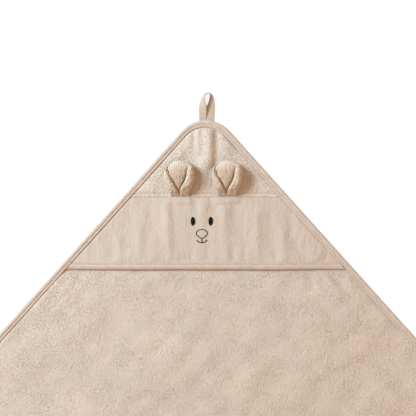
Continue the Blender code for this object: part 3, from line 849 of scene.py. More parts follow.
def hood_over(x, y):
    """Height of the hood's upper side, before its pile."""
    flat = np.maximum(pressed(x, y), in_hood_tape(y))
    dip = SEAM_DIP * bell(y - SEAM_Y, SEAM_SPREAD) * (1 - beside_ears(x))
    dip = dip + SEAM_STITCH_DIP * bell(y - SEAM_Y - SEAM_STITCH_RISE, SEAM_STITCH_SPREAD)
    return hood_under(x, y) + flat * HOOD_BOUND + (1 - flat) * (HOOD_CLOTH - dip)


def binding_room(y):
    """Height of the space inside the edge tape, which holds one cloth, or two along the hood."""
    second = ease(y, FOLD_Y - BINDING_OPENS, FOLD_Y + HOOD_TAPE_WIDTH)
    return LAYER_ROOM + TERRY_BOUND + GAP + BINDING_SLACK + second * (HOOD_BOUND + GAP)


# ---------------------------------------------------------------- meshes


def new_piece(name, points, faces, material, smooth_angle=60.0):
    """A mesh object at the origin, shaded smooth but for edges sharper than the angle."""
    mesh = bpy.data.meshes.new(name)
    mesh.from_pydata(points, [], faces)
    mesh.validate()
    mesh.shade_smooth()
    mesh.set_sharp_from_angle(angle=math.radians(smooth_angle))
    mesh.materials.append(material)
    piece = bpy.data.objects.new(name, mesh)
    bpy.context.scene.collection.objects.link(piece)
    return piece


def quads(ring):
    """Quads of a grid of vertex numbers, facing up where its rows run along +Y and its columns along +X."""
    corners = (ring[:-1, :-1], ring[:-1, 1:], ring[1:, 1:], ring[1:, :-1])
    return np.stack([corner.ravel() for corner in corners], axis=1).tolist()


def shell(name, over, under, material, thin=1):
    """A closed wall of cloth between two grids of points. The lower grid keeps every thin-th line."""
    rows, columns = over.shape[:2]
    under = under[::thin, ::thin]
    top = np.arange(rows * columns).reshape(rows, columns)
    bottom = rows * columns + np.arange(under.shape[0] * under.shape[1]).reshape(under.shape[:2])
    faces = quads(top) + quads(bottom[:, ::-1])
    rims = (
        (top[0], bottom[0]),
        (top[:, -1], bottom[:, -1]),
        (top[-1, ::-1], bottom[-1, ::-1]),
        (top[::-1, 0], bottom[::-1, 0]),
    )
    for upper, lower in rims:
        for k in range(len(lower) - 1):
            face = [lower[k], lower[k + 1], *upper[k * thin : (k + 1) * thin + 1][::-1]]
            faces.append([int(number) for number in face])
    points = np.concatenate((over.reshape(-1, 3), under.reshape(-1, 3)))
    return new_piece(name, points.tolist(), faces, material)


def running_length(steps):
    """Distance from the start at each point of a path with these steps."""
    return np.concatenate(([0.0], np.cumsum(steps)))


def sweep(name, sections, closed, material):
    """A solid through closed sections. Its UV map runs in metres, along the path and round the section."""
    stations, around = sections.shape[:2]
    ring = np.arange(stations * around).reshape(stations, around)
    here = ring if closed else ring[:-1]
    there = np.roll(ring, -1, axis=0) if closed else ring[1:]
    corners = (here, np.roll(here, -1, axis=1), np.roll(there, -1, axis=1), there)
    faces = np.stack([corner.ravel() for corner in corners], axis=1)
    caps = [] if closed else [ring[0].tolist(), ring[-1][::-1].tolist()]

    middle = sections.mean(axis=1)
    along = running_length(np.linalg.norm(np.roll(middle, -1, axis=0) - middle, axis=1))
    edges = np.linalg.norm(np.roll(sections, -1, axis=1) - sections, axis=2)
    across = running_length(edges.mean(axis=0))
    k, a = np.divmod(np.arange(len(faces)), around)
    places = [
        np.stack((along[k + far], across[a + near]), axis=1)
        for far, near in ((0, 0), (0, 1), (1, 1), (1, 0))
    ]
    uv = np.stack(places, axis=1)

    flat = sections.reshape(-1, 3)
    fan = [flat[faces[:, corner]] for corner in range(4)]
    volume = np.einsum("ij,ij->", fan[0], np.cross(fan[1], fan[2]) + np.cross(fan[2], fan[3]))
    if volume < 0:
        faces = faces[:, ::-1]
        uv = uv[:, ::-1]
        caps = [cap[::-1] for cap in caps]

    piece = new_piece(name, flat.tolist(), faces.tolist() + caps, material)
    layer = piece.data.uv_layers.new(name="UVMap")
    coordinates = np.zeros((len(piece.data.loops), 2), np.float32)
    coordinates[: uv.shape[0] * 4] = uv.reshape(-1, 2)
    layer.uv.foreach_set("vector", coordinates.ravel())
    return piece


def raised(points, relief):
    """A grid of points moved out along its own normals."""
    along_row = np.gradient(points, axis=1)
    along_column = np.gradient(points, axis=0)
    normal = np.cross(along_row, along_column)
    normal /= np.maximum(np.linalg.norm(normal, axis=2, keepdims=True), 1e-12)
    return points + normal * relief[..., None]


def surface(x, y, height):
    """Points from their places and heights."""
    return np.stack((x, y, height), axis=-1)


# ---------------------------------------------------------------- materials

CLOTH_GLOSS = 0.25
WARM_SHEEN = (1.0, 0.80, 0.62, 1.0)


def add(tree, kind, inputs=(), **settings):
    """A node with its settings, and its inputs given as values or as other nodes' outputs."""
    made = tree.nodes.new(kind)
    for key, value in settings.items():
        setattr(made, key, value)
    for key, value in dict(inputs).items():
        if isinstance(value, bpy.types.NodeSocket):
            tree.links.new(value, made.inputs[key])
        else:
            made.inputs[key].default_value = value
    return made


def placed(tree, stretch=1.0, heading=0.0, source="Object"):
    """Coordinates in metres, in which patterns are stretched this much along this heading."""
    where = add(tree, "ShaderNodeTexCoord").outputs[source]
    inputs = {"Vector": where, "Scale": (stretch, 1.0, 1.0), "Rotation": (0, 0, math.radians(heading))}
    return add(tree, "ShaderNodeMapping", inputs, vector_type="TEXTURE").outputs["Vector"]


def noise(tree, where, size, detail=2.0, roughness=0.5, distortion=0.0):
    """Noise from 0 to 1 with features about this many metres across."""
    inputs = {
        "Vector": where,
        "Scale": 1 / size,
        "Detail": detail,
        "Roughness": roughness,
        "Distortion": distortion,
    }
    return add(tree, "ShaderNodeTexNoise", inputs).outputs["Fac"]


def maths(tree, operation, first, second=0.0, clamp=False):
    """The result of one operation on one or two values."""
    inputs = {0: first, 1: second}
    return add(tree, "ShaderNodeMath", inputs, operation=operation, use_clamp=clamp).outputs[0]


def times(tree, first, second):
    """One value times another."""
    return maths(tree, "MULTIPLY", first, second)


def plus(tree, first, second):
    """The sum of two values."""
    return maths(tree, "ADD", first, second)


def spread_to(tree, value, old, new=(0.0, 1.0)):
    """A value carried from its old range to a new one, and held inside it."""
    inputs = {"Value": value, "From Min": old[0], "From Max": old[1], "To Min": new[0], "To Max": new[1]}
    return add(tree, "ShaderNodeMapRange", inputs).outputs["Result"]


def mixed(tree, share, first, second):
    """The first colour where the share is 0, and the second where it is 1."""
    return add(tree, "ShaderNodeMix", {0: share, 6: first, 7: second}, data_type="RGBA").outputs[2]


def bump(tree, height, distance, strength, before=None):
    """A normal bent by this height, on top of the one from an earlier bump."""
    inputs = {"Height": height, "Distance": distance, "Strength": strength}
    if before:
        inputs["Normal"] = before
    return add(tree, "ShaderNodeBump", inputs).outputs["Normal"]


def shade(colour, factor):
    """A lighter or darker shade of a colour, as red, green, blue and alpha."""
    return (*(min(1.0, part * factor) for part in colour), 1.0)


def tinted(colour, factor, warmth):
    """A darker shade that is also warmer: painted crease shade where the materials lay it on low parts of
    their pile, yarns and grain, and a random darker tone in their blotches.
    """
    red, green, blue, alpha = shade(colour, factor)
    return (red * (1 + warmth), green, blue * (1 - 2 * warmth), alpha)


def plain_material(name, values):
    """A material with these values on its shader."""
    material = bpy.data.materials.new(name)
    material.use_nodes = True
    shader = material.node_tree.nodes["Principled BSDF"]
    for label, value in values.items():
        shader.inputs[label].default_value = value
    return material


def fibre_material(name, roughness, sheen, sheen_roughness, gloss=CLOTH_GLOSS):
    """A material of cotton, whose sheen is warm, and its node tree."""
    values = {
        "Roughness": roughness,
        "Specular IOR Level": gloss,
        "Sheen Weight": sheen,
        "Sheen Roughness": sheen_roughness,
        "Sheen Tint": WARM_SHEEN,
    }
    material = plain_material(name, values)
    return material, material.node_tree


def finished(material, colour, normal):
    """The material with a colour and a normal on its shader."""
    tree = material.node_tree
    shader = tree.nodes["Principled BSDF"]
    tree.links.new(colour, shader.inputs["Base Color"])
    tree.links.new(normal, shader.inputs["Normal"])
    return material


def terry_material(name, colour, loop_size, depth, heading, clump_size, smoothest):
    """Looped pile: wormy clumps of round loops, rougher in some patches, with painted shade, darker and
    warmer, between them and a painted highlight on their tops.
    """
    cell_for_loop = 1.15
    loop_height = 0.55
    fuzz_height = 0.5
    clump_height = 2.6
    coarse_depth = 2.4 * depth
    material, tree = fibre_material(name, roughness=0.95, sheen=0.22, sheen_roughness=0.5)
    where = placed(tree)
    patches = spread_to(tree, noise(tree, where, 0.026), (0.35, 0.62), (smoothest, 1.0))
    drawn = placed(tree, stretch=1.7, heading=heading)
    clumps = noise(tree, drawn, clump_size, detail=2.5, roughness=0.62, distortion=0.9)
    inputs = {
        "Vector": placed(tree, stretch=1.4, heading=heading + 20),
        "Scale": 1 / (cell_for_loop * loop_size),
        "Smoothness": 0.4,
    }
    cells = add(tree, "ShaderNodeTexVoronoi", inputs, feature="SMOOTH_F1").outputs["Distance"]
    loops = maths(tree, "SUBTRACT", 1.0, cells, clamp=True)
    fuzz = noise(tree, where, 0.0015, roughness=0.7)

    rough = times(tree, maths(tree, "SUBTRACT", clumps, 0.5), patches)
    fine = plus(tree, times(tree, loops, loop_height), times(tree, fuzz, fuzz_height))
    height = plus(tree, times(tree, rough, clump_height), fine)
    coarse = bump(tree, rough, coarse_depth, strength=1.0)

    # painted shade: the colour is darker and warmer low between the loops and clumps, and lighter on their
    # tops as a painted highlight
    tops = spread_to(tree, height, (0.05, 1.15))
    pile = mixed(tree, tops, tinted(colour, 0.78, 0.12), shade(colour, 1.12))
    blotches = noise(tree, placed(tree, stretch=2.4, heading=heading), 0.028, detail=3.0)
    blotches = spread_to(tree, blotches, (0.34, 0.66), (0.0, 0.5))
    soft = mixed(tree, blotches, pile, tinted(colour, 0.84, 0.04))
    return finished(material, soft, bump(tree, fine, depth, strength=0.9, before=coarse))


def short_pile_material(name, colour, grain, depth, top=None):
    """Short pile: a fine grain, a little longer up the cloth than across, in soft blotches.

    With a top colour, the cloth is painted lighter towards the upper end of an ear, as painted light where
    the ear's top catches the light.
    """
    fine_height = 0.5
    rib_height = 0.35
    upright = 90
    material, tree = fibre_material(name, roughness=0.92, sheen=0.25, sheen_roughness=0.45)
    where = placed(tree)
    drawn = placed(tree, stretch=2.0, heading=upright)
    fibres = noise(tree, drawn, 0.0019, detail=3.0, roughness=0.65, distortion=0.4)
    ribs = noise(tree, placed(tree, stretch=6.0, heading=upright), 0.0030)
    fine = noise(tree, where, 0.0014, roughness=0.65)
    height = plus(tree, times(tree, fibres, grain), times(tree, fine, fine_height))
    height = plus(tree, height, times(tree, ribs, rib_height * grain))
    most = (1 + rib_height) * grain + fine_height

    # painted shade: darker and warmer low in the grain, and lighter on its tops as a painted highlight
    tops = spread_to(tree, height, (0.33 * most, 0.67 * most))
    pile = mixed(tree, tops, tinted(colour, 0.86, 0.07), shade(colour, 1.08))
    drawn = placed(tree, stretch=2.2, heading=upright)
    blotches = noise(tree, drawn, 0.018, detail=3.0, roughness=0.55)
    blotches = spread_to(tree, blotches, (0.32, 0.68), (0.0, 0.45))
    soft = mixed(tree, blotches, pile, tinted(colour, 0.90, 0.02))
    # painted light: the lining turns to the top colour towards the ear's upper end, where the light falls on
    # it
    if top:
        up = add(tree, "ShaderNodeSeparateXYZ", {"Vector": where}).outputs["Y"]
        painted_light_span = (EAR_BASE_Y + 0.5 * EAR_LENGTH, EAR_BASE_Y + 0.97 * EAR_LENGTH)
        soft = mixed(tree, spread_to(tree, up, painted_light_span, (0.0, 0.85)), soft, shade(top, 1.0))
    return finished(material, soft, bump(tree, height, depth, strength=1.0))


def woven_material(name, colour, yarn, heading):
    """Plain weave: two sets of yarns, at a slant to the tape's length, a little slubby."""
    material, tree = fibre_material(name, roughness=0.82, sheen=0.18, sheen_roughness=0.4)
    parts = add(tree, "ShaderNodeSeparateXYZ", {"Vector": placed(tree, heading=heading, source="UV")})
    turns = [times(tree, parts.outputs[axis], math.pi / yarn) for axis in ("X", "Y")]
    warp, weft = (maths(tree, "ABSOLUTE", maths(tree, "SINE", turn)) for turn in turns)
    over = times(tree, *(maths(tree, "SINE", turn) for turn in turns))
    side = maths(tree, "GREATER_THAN", over, 0.0)
    yarns = add(tree, "ShaderNodeMix", {0: side, 2: warp, 3: weft}, data_type="FLOAT").outputs[0]
    drawn = placed(tree, stretch=4.0, heading=heading, source="UV")
    slubs = noise(tree, drawn, 0.0018, roughness=0.6)

    # painted shade: darker and warmer where the yarns dip, and lighter on their crests as a painted
    # highlight
    tops = spread_to(tree, yarns, (0.0, 0.9))
    weave = mixed(tree, tops, tinted(colour, 0.80, 0.05), shade(colour, 1.07))
    slubby = mixed(tree, spread_to(tree, slubs, (0.35, 0.75), (0.0, 0.4)), weave, shade(colour, 1.18))
    blotches = noise(tree, placed(tree), 0.010, detail=3.0, roughness=0.6)
    blotches = spread_to(tree, blotches, (0.35, 0.65), (0.0, 0.5))
    soft = mixed(tree, blotches, slubby, tinted(colour, 0.84, 0.03))
    uneven = bump(tree, slubs, distance=0.0005, strength=0.8)
    return finished(material, soft, bump(tree, yarns, distance=0.00016, strength=0.8, before=uneven))


def thread_material(name, colour, roughness, gloss):
    """Twisted thread: slanting plies, with a little gloss."""
    material, tree = fibre_material(name, roughness, sheen=0.0, sheen_roughness=0.3, gloss=gloss)
    inputs = {"Vector": placed(tree, heading=35), "Scale": 900.0, "Distortion": 1.5}
    twist = add(tree, "ShaderNodeTexWave", inputs).outputs["Fac"]
    # painted shade in the grooves between the plies, and a painted highlight on their crests
    plies = mixed(tree, twist, shade(colour, 0.8), shade(colour, 1.15))
    return finished(material, plies, bump(tree, twist, distance=0.00006, strength=0.6))


# ---------------------------------------------------------------- stitches


def tree_of_nodes(name, inputs):
    """A geometry node group with a geometry in and out and these named inputs."""
    group = bpy.data.node_groups.new(name, "GeometryNodeTree")
    group.interface.new_socket("Geometry", in_out="INPUT", socket_type="NodeSocketGeometry")
    for label, kind in inputs:
        group.interface.new_socket(label, in_out="INPUT", socket_type=kind)
    group.interface.new_socket("Geometry", in_out="OUTPUT", socket_type="NodeSocketGeometry")
    source = group.nodes.new("NodeGroupInput")
    sink = group.nodes.new("NodeGroupOutput")
    return group, source.outputs, sink.inputs


def thread_bead(group, radius, length):
    """One stitch: a round thread whose ends sink into the cloth."""
    ball = add(group, "GeometryNodeMeshUVSphere", {"Segments": 6, "Rings": 5, "Radius": radius})
    stretch = maths(group, "DIVIDE", length, times(group, radius, 2.0))
    size = add(group, "ShaderNodeCombineXYZ", {"X": 1.0, "Y": 1.0, "Z": stretch}).outputs[0]
    bead = add(group, "GeometryNodeTransform", {"Geometry": ball.outputs["Mesh"], "Scale": size})
    smooth = add(group, "GeometryNodeSetShadeSmooth", {"Geometry": bead.outputs["Geometry"]})
    return smooth.outputs["Geometry"]


def sewn(group, points, bead, heading, stretch, material, sink):
    """Ends a node group: a stitch on each point, turned to its heading, as one plain mesh of thread."""
    turned = add(group, "FunctionNodeAlignRotationToVector", {"Vector": heading}, axis="Z")
    scale = add(group, "ShaderNodeCombineXYZ", {"X": 1.0, "Y": 1.0, "Z": stretch})
    inputs = {
        "Points": points,
        "Instance": bead,
        "Rotation": turned.outputs["Rotation"],
        "Scale": scale.outputs[0],
    }
    beads = add(group, "GeometryNodeInstanceOnPoints", inputs).outputs["Instances"]
    real = add(group, "GeometryNodeRealizeInstances", {"Geometry": beads}).outputs["Geometry"]
    dressed = add(group, "GeometryNodeSetMaterial", {"Geometry": real, "Material": material})
    group.links.new(dressed.outputs["Geometry"], sink["Geometry"])


def running_stitch_tree():
    """Stitches end to end along each line of a mesh."""
    inputs = (
        ("Pitch", "NodeSocketFloat"),
        ("Length", "NodeSocketFloat"),
        ("Thread Radius", "NodeSocketFloat"),
        ("Unevenness", "NodeSocketFloat"),
        ("Seed", "NodeSocketInt"),
        ("Material", "NodeSocketMaterial"),
    )
    group, source, sink = tree_of_nodes("running stitch", inputs)
    curve = add(group, "GeometryNodeMeshToCurve", {"Mesh": source["Geometry"]}).outputs["Curve"]
    inputs = {"Curve": curve, "Length": source["Pitch"]}
    spaced = add(group, "GeometryNodeResampleCurve", inputs, mode="LENGTH").outputs["Curve"]
    tangent = add(group, "GeometryNodeInputTangent").outputs["Tangent"]
    shorter = maths(group, "SUBTRACT", 1.0, source["Unevenness"])
    inputs = {"Min": shorter, "Max": 1.0, "Seed": source["Seed"]}
    uneven = add(group, "FunctionNodeRandomValue", inputs, data_type="FLOAT").outputs["Value"]
    bead = thread_bead(group, source["Thread Radius"], source["Length"])
    sewn(group, spaced, bead, tangent, uneven, source["Material"], sink)
    return group


def satin_stitch_tree():
    """Stitches laid side by side: each point of a mesh holds half of its stitch as a vector."""
    inputs = (("Thread Radius", "NodeSocketFloat"), ("Material", "NodeSocketMaterial"))
    group, source, sink = tree_of_nodes("satin stitch", inputs)
    named = add(group, "GeometryNodeInputNamedAttribute", {"Name": "reach"}, data_type="FLOAT_VECTOR")
    reach = named.outputs["Attribute"]
    long = add(group, "ShaderNodeVectorMath", {0: reach}, operation="LENGTH").outputs["Value"]
    stretch = maths(group, "DIVIDE", long, source["Thread Radius"])
    bead = thread_bead(group, source["Thread Radius"], times(group, source["Thread Radius"], 2.0))
    sewn(group, source["Geometry"], bead, reach, stretch, source["Material"], sink)
    return group


def grown(name, mesh, group, values):
    """The plain mesh that a geometry node group makes from a mesh."""
    seedling = bpy.data.objects.new(name + "_path", mesh)
    bpy.context.scene.collection.objects.link(seedling)
    modifier = seedling.modifiers.new("stitches", "NODES")
    modifier.node_group = group
    names = {item.name: item.identifier for item in group.interface.items_tree if item.in_out == "INPUT"}
    for label, value in values.items():
        modifier[names[label]] = value
    depsgraph = bpy.context.evaluated_depsgraph_get()
    made = bpy.data.meshes.new_from_object(seedling.evaluated_get(depsgraph), depsgraph=depsgraph)
    made.name = name
    bpy.data.objects.remove(seedling)
    piece = bpy.data.objects.new(name, made)
    bpy.context.scene.collection.objects.link(piece)
    return piece


def topstitched(name, line, closed, cloth, material):
    """A row of machine stitches along a line of points."""
    count = len(line)
    edges = [(k, (k + 1) % count) for k in range(count if closed else count - 1)]
    mesh = bpy.data.meshes.new(name)
    mesh.from_pydata(line.tolist(), edges, [])
    values = {
        "Pitch": cloth.stitch_pitch,
        "Length": cloth.stitch_length,
        "Thread Radius": cloth.thread_radius,
        "Unevenness": 0.12,
        "Seed": cloth.seed,
        "Material": material,
    }
    group = bpy.data.node_groups.get("running stitch") or running_stitch_tree()
    return grown(name, mesh, group, values)


def satin(name, middles, reaches, radius, material):
    """Satin stitch of threads with these middles, each reaching this far to both sides."""
    mesh = bpy.data.meshes.new(name)
    mesh.from_pydata(middles.tolist(), [], [])
    attribute = mesh.attributes.new("reach", "FLOAT_VECTOR", "POINT")
    attribute.data.foreach_set("vector", np.asarray(reaches, np.float32).ravel())
    group = bpy.data.node_groups.get("satin stitch") or satin_stitch_tree()
    return grown(name, mesh, group, {"Thread Radius": radius, "Material": material})


# ---------------------------------------------------------------- the pieces


def fixed(piece, node=None):
    """Fixes a piece to the towel, in the place of the plain solid it stands for."""
    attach(piece, "root")
    if node:
        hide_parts(node)


class TOWEL_OT_main_panel(bpy.types.Operator):
    """The square of terry"""

    bl_idname = "towel.main_panel"
    bl_label = "Main panel"
    bl_options = {"REGISTER", "UNDO"}

    # spacing of the grid's lines, where the fine ones start, and one in how many the underside keeps
    FINE = 0.0024
    COARSE = 0.0039
    FINE_FROM = -0.130
    THIN = 6
    # layers of hills: height, size (in clump sizes for the pile), how much up the towel counts, own seed
    PILE = ((0.4, 1.6, 0.55, 0), (0.5, 4.2, 0.45, 1))
    SWELL = ((0.5, 0.024, 0.4, 30), (1.0, 0.075, 0.6, 31))
    SWELL_LOW = -1.2
    SWELL_HIGH = 1.2
    SWELL_BELOW = 0.8  # how much of the swell the underside follows
    # distance below the hood's opening at which pile and swell set in, and at which they are full
    SHOWN_FROM = 0.001
    SHOWN_FULL = 0.010

    def lines(self):
        """Grid lines from side to side, closer together towards the hooded corner."""
        half = SIDE / 2
        fine = round((half - self.FINE_FROM) / self.FINE / self.THIN) * self.THIN
        coarse = round((self.FINE_FROM + half) / self.COARSE / self.THIN) * self.THIN
        spread_out = np.linspace(-half, self.FINE_FROM, coarse, endpoint=False)
        return np.concatenate((spread_out, np.linspace(self.FINE_FROM, half, fine + 1)))

    def execute(self, context):
        cloth = context.scene.towel_cloth
        colour = context.scene.towel_colours.terry
        line = drawn_in(self.lines(), BODY_INSET)
        u, v = np.meshgrid(line, line)
        x, y = bias(*rounded(u, v))
        shown = ease(FOLD_Y - y, self.SHOWN_FROM, self.SHOWN_FULL) * (1 - pressed(x, y))
        along, beside = (x + y) / math.sqrt(2), (y - x) / math.sqrt(2)
        pile = hills(beside, along, self.PILE, cloth.seed, cloth.clump_size)
        swell = ease(hills(beside, along, self.SWELL, cloth.seed), self.SWELL_LOW, self.SWELL_HIGH)
        swell = cloth.swell * shown * swell + waves(x, y) + drag_lines(x, y)
        over = body_over(x, y) + swell + shown * cloth.pile_relief * pile
        under = body_under(x, y) + self.SWELL_BELOW * swell
        material = terry_material(
            "terry", colour, cloth.loop_size, depth=0.0010, heading=42, clump_size=0.0019, smoothest=0.5
        )
        piece = shell("terry_towel", surface(x, y, over), surface(x, y, under), material, self.THIN)
        fixed(piece, "towel_body")
        return {"FINISHED"}


class TOWEL_OT_hood_panels(bpy.types.Operator):
    """The hood's two panels, joined by the cross seam"""

    bl_idname = "towel.hood_panels"
    bl_label = "Hood panels"
    bl_options = {"REGISTER", "UNDO"}

    # spacing of the grid's rows inside the tape and of its columns, and the rows of each stretch
    ROW = 0.0011
    COLUMN = 0.0014
    FACE_ROWS = 84
    TIP_ROWS = 78
    ARC_ROWS = 25
    ARC_END = 86.0  # degrees round the tip's corner at which the last row lies
    # the lower panel's cut edge, above the fold; past the tape's edge it widens to its full width
    CUT_RISE = 0.0018
    TRIMMED_TO = 0.0004
    FULL_FROM = 0.0009
    # layers of hills: height, size (in clump sizes for the tip), how much up the hood counts, own seed
    FLUFF = ((0.6, 1.0, 1.0, 2), (0.24, 3.5, 1.0, 3))
    FLUFF_LOST = 0.7  # share of the fluff that is lost in the cross seam
    NAP = ((0.4, 0.0042, 0.5, 4), (1.2, 0.010, 0.25, 14))
    SLANT = 0.2
    SLANTING_NAP = ((1.8, 0.023, 0.3, 15),)

    def fluff(self, x, y, cloth):
        """Relief of the tip's pile."""
        free = (1 - pressed(x, y)) * (1 - self.FLUFF_LOST * bell(y - SEAM_Y, SEAM_SPREAD))
        return cloth.pile_relief * free * hills(x, y, self.FLUFF, cloth.seed, cloth.clump_size)

    def nap(self, x, y, cloth):
        """Relief of the lower panel's short pile, and its ripples."""
        free = (1 - pressed(x, y)) * (1 - in_hood_tape(y))
        upright = hills(x, y, self.NAP, cloth.seed)
        slanting = hills(x + self.SLANT * y, y, self.SLANTING_NAP, cloth.seed)
        return cloth.pile_relief * free * (upright + slanting)

    def panel(self, name, heights, insets, relief, material, cloth):
        """One panel over rows at these heights, each as wide as its inset leaves."""
        widths = half_width(heights, insets)
        columns = round(2 * widths.max() / self.COLUMN)
        x = widths[:, None] * np.linspace(-1.0, 1.0, columns)
        y = np.broadcast_to(heights[:, None], x.shape)
        over = hood_over(x, y) + relief(x, y, cloth)
        return shell(name, surface(x, y, over), surface(x, y, hood_under(x, y)), material)

    def lower_panel(self, cloth, colour):
        """The panel between the opening edge and the cross seam, trimmed where the tape binds it."""
        trimmed = np.arange(FOLD_Y + self.CUT_RISE, TAPE_EDGE_Y, self.ROW)
        trimmed = np.append(trimmed, TAPE_EDGE_Y + self.TRIMMED_TO)
        full = np.linspace(TAPE_EDGE_Y + self.FULL_FROM, SEAM_Y - GAP / 2, self.FACE_ROWS)
        heights = np.concatenate((trimmed, full))
        insets = np.concatenate((np.full(len(trimmed), HOOD_TRIM), np.full(len(full), HOOD_INSET)))
        material = short_pile_material("hood_cloth", colour, grain=0.7, depth=0.0012)
        return self.panel("hood_lower_panel", heights, insets, self.nap, material, cloth)

    def tip_panel(self, cloth, colour):
        """The panel above the cross seam, up to the hood's round tip."""
        radius = CORNER_RADIUS - HOOD_INSET
        straight = np.linspace(SEAM_Y + GAP / 2, (2 * CORE + radius) * ALONG, self.TIP_ROWS)
        angles = np.radians(np.linspace(45.0, self.ARC_END, self.ARC_ROWS + 1)[1:])
        arc = (2 * CORE + math.sqrt(2) * radius * np.sin(angles)) * ALONG
        heights = np.concatenate((straight, arc))
        insets = np.full(len(heights), HOOD_INSET)
        material = terry_material(
            "hood_terry", colour, cloth.loop_size, depth=0.0010, heading=65, clump_size=0.0021, smoothest=0.6
        )
        return self.panel("hood_tip_panel", heights, insets, self.fluff, material, cloth)

    def execute(self, context):
        cloth = context.scene.towel_cloth
        colours = context.scene.towel_colours
        lower = self.lower_panel(cloth, colours.hood_cloth)
        tip = self.tip_panel(cloth, colours.hood_terry)
        for piece, node, slot, flat, share in (
            (lower, "hood_face", "hood_cloth", (0.400, 0.0975), 0.79),
            (tip, "hood_tip", "hood_terry", (0.228, 0.104), 0.58),
        ):
            fixed(piece, node)
        return {"FINISHED"}


class TOWEL_OT_tapes(bpy.types.Operator):
    """The tapes folded over the towel's edge and over the hood's opening edge"""

    bl_idname = "towel.tapes"
    bl_label = "Edge tapes"
    bl_options = {"REGISTER", "UNDO"}

    STATION = 0.0026
    STRIP = 0.024  # width of the bias strip before it is folded
    # how far the folded edge strays from its line, and over what length
    STRAY = 0.00025
    STRAY_LENGTH = 0.021
    # how far the hood's fold strays, over what length, and how far up the tape in millimetres
    SAG = 0.0004
    SAG_LENGTH = 0.060
    SAG_REACH = 3.0
    PUCKER_LENGTH = 0.0075
    SLOW_PUCKER_LENGTH = 0.019

    def puckers(self, along, beside, seed):
        """Short drag lines slanting across the tape, from about 0 to 1."""
        slant = unevenness(along + beside, beside * 0.5, self.PUCKER_LENGTH, seed)
        return 0.5 + 0.5 * slant + 0.35 * unevenness(along, beside, self.SLOW_PUCKER_LENGTH, seed + 1)

    def edge_tape(self, cloth, material):
        """The tape round the whole outline."""
        count = round(OUTLINE_LENGTH / self.STATION)
        along = (np.arange(count) * OUTLINE_LENGTH / count)[:, None]
        inset, share, above, loose = (np.array(column) for column in zip(*BINDING_SECTION))
        stray = self.STRAY * unevenness(along, np.zeros_like(along), self.STRAY_LENGTH, cloth.seed + 5)
        inner = ease(inset, BINDING_STITCH_INSET / MM, BINDING_WIDTH / MM)
        x, y = bias(*outline(along, inset * MM + stray * inner))
        height = lift(x, y) + share * binding_room(y) + above * MM
        height = height + loose * cloth.tape_pucker * self.puckers(along, inset * MM, cloth.seed + 6)
        return sweep("edge_tape", surface(x, y, height), True, material)

    def hood_tape(self, cloth, material):
        """The tape along the hood's opening edge."""
        up, above, loose = (np.array(column) for column in zip(*HOOD_TAPE_SECTION))
        count = round(2 * half_width(FOLD_Y, HOOD_TRIM) / self.STATION)
        share = np.linspace(-1.0, 1.0, count)[:, None]
        y = FOLD_Y + up * MM + np.zeros_like(share)
        x = half_width(y, HOOD_TRIM - GAP) * share
        height = body_over(x, y) + GAP + loft(x, y) + above * MM
        height = height + loose * cloth.tape_pucker * self.puckers(x, up * MM, cloth.seed + 8)
        sag = self.SAG * unevenness(x, np.zeros_like(x), self.SAG_LENGTH, cloth.seed + 9)
        sag = sag * bell(up, self.SAG_REACH)
        return sweep("hood_opening_tape", surface(x, y + sag, height), False, material)

    def execute(self, context):
        cloth = context.scene.towel_cloth
        colour = context.scene.towel_colours.tape
        material = woven_material("bias_tape", colour, yarn=0.00055, heading=45)
        edge = self.edge_tape(cloth, material)
        hood = self.hood_tape(cloth, material)
        for piece, node, length, on in (
            (edge, "edge_binding", 2.88, ["terry_towel", "hood_lower_panel", "hood_tip_panel"]),
            (hood, "hood_edge_binding", 0.378, ["terry_towel", "hood_lower_panel"]),
        ):
            fixed(piece, node)
        return {"FINISHED"}


class TOWEL_OT_hanging_loop(bpy.types.Operator):
    """The loop of doubled tape at the hood's tip"""

    bl_idname = "towel.hanging_loop"
    bl_label = "Hanging loop"
    bl_options = {"REGISTER", "UNDO"}

    STEPS = 9
    # share of the way across the tape, and of half its thickness
    SECTION = (
        (0.00, 0.30),
        (0.02, 0.72),
        (0.06, 0.96),
        (0.14, 1.00),
        (0.24, 0.92),
        (0.50, 0.96),
        (0.76, 0.92),
        (0.86, 1.00),
        (0.94, 0.96),
        (0.98, 0.72),
        (1.00, 0.30),
    )

    def execute(self, context):
        stations = through(LOOP_STATIONS, self.STEPS) * MM
        place = np.array((0.0, TIP_Y, LOOP_TAPE / 2))
        low = stations[:, 0:3] + place
        high = stations[:, 3:6] + place
        travel = np.gradient((low + high) / 2, axis=0)
        normal = np.cross(travel, high - low)
        normal *= LOOP_TAPE / 2 / np.linalg.norm(normal, axis=1, keepdims=True)
        round_it = list(self.SECTION) + [(share, -side) for share, side in reversed(self.SECTION)]
        lines = [low + (high - low) * share + normal * side for share, side in round_it]
        colour = context.scene.towel_colours.loop_tape
        material = woven_material("loop_tape", colour, yarn=0.00050, heading=0)
        piece = sweep("loop_tape", np.stack(lines, axis=1), False, material)
        fixed(piece, "hanging_loop")
        return {"FINISHED"}


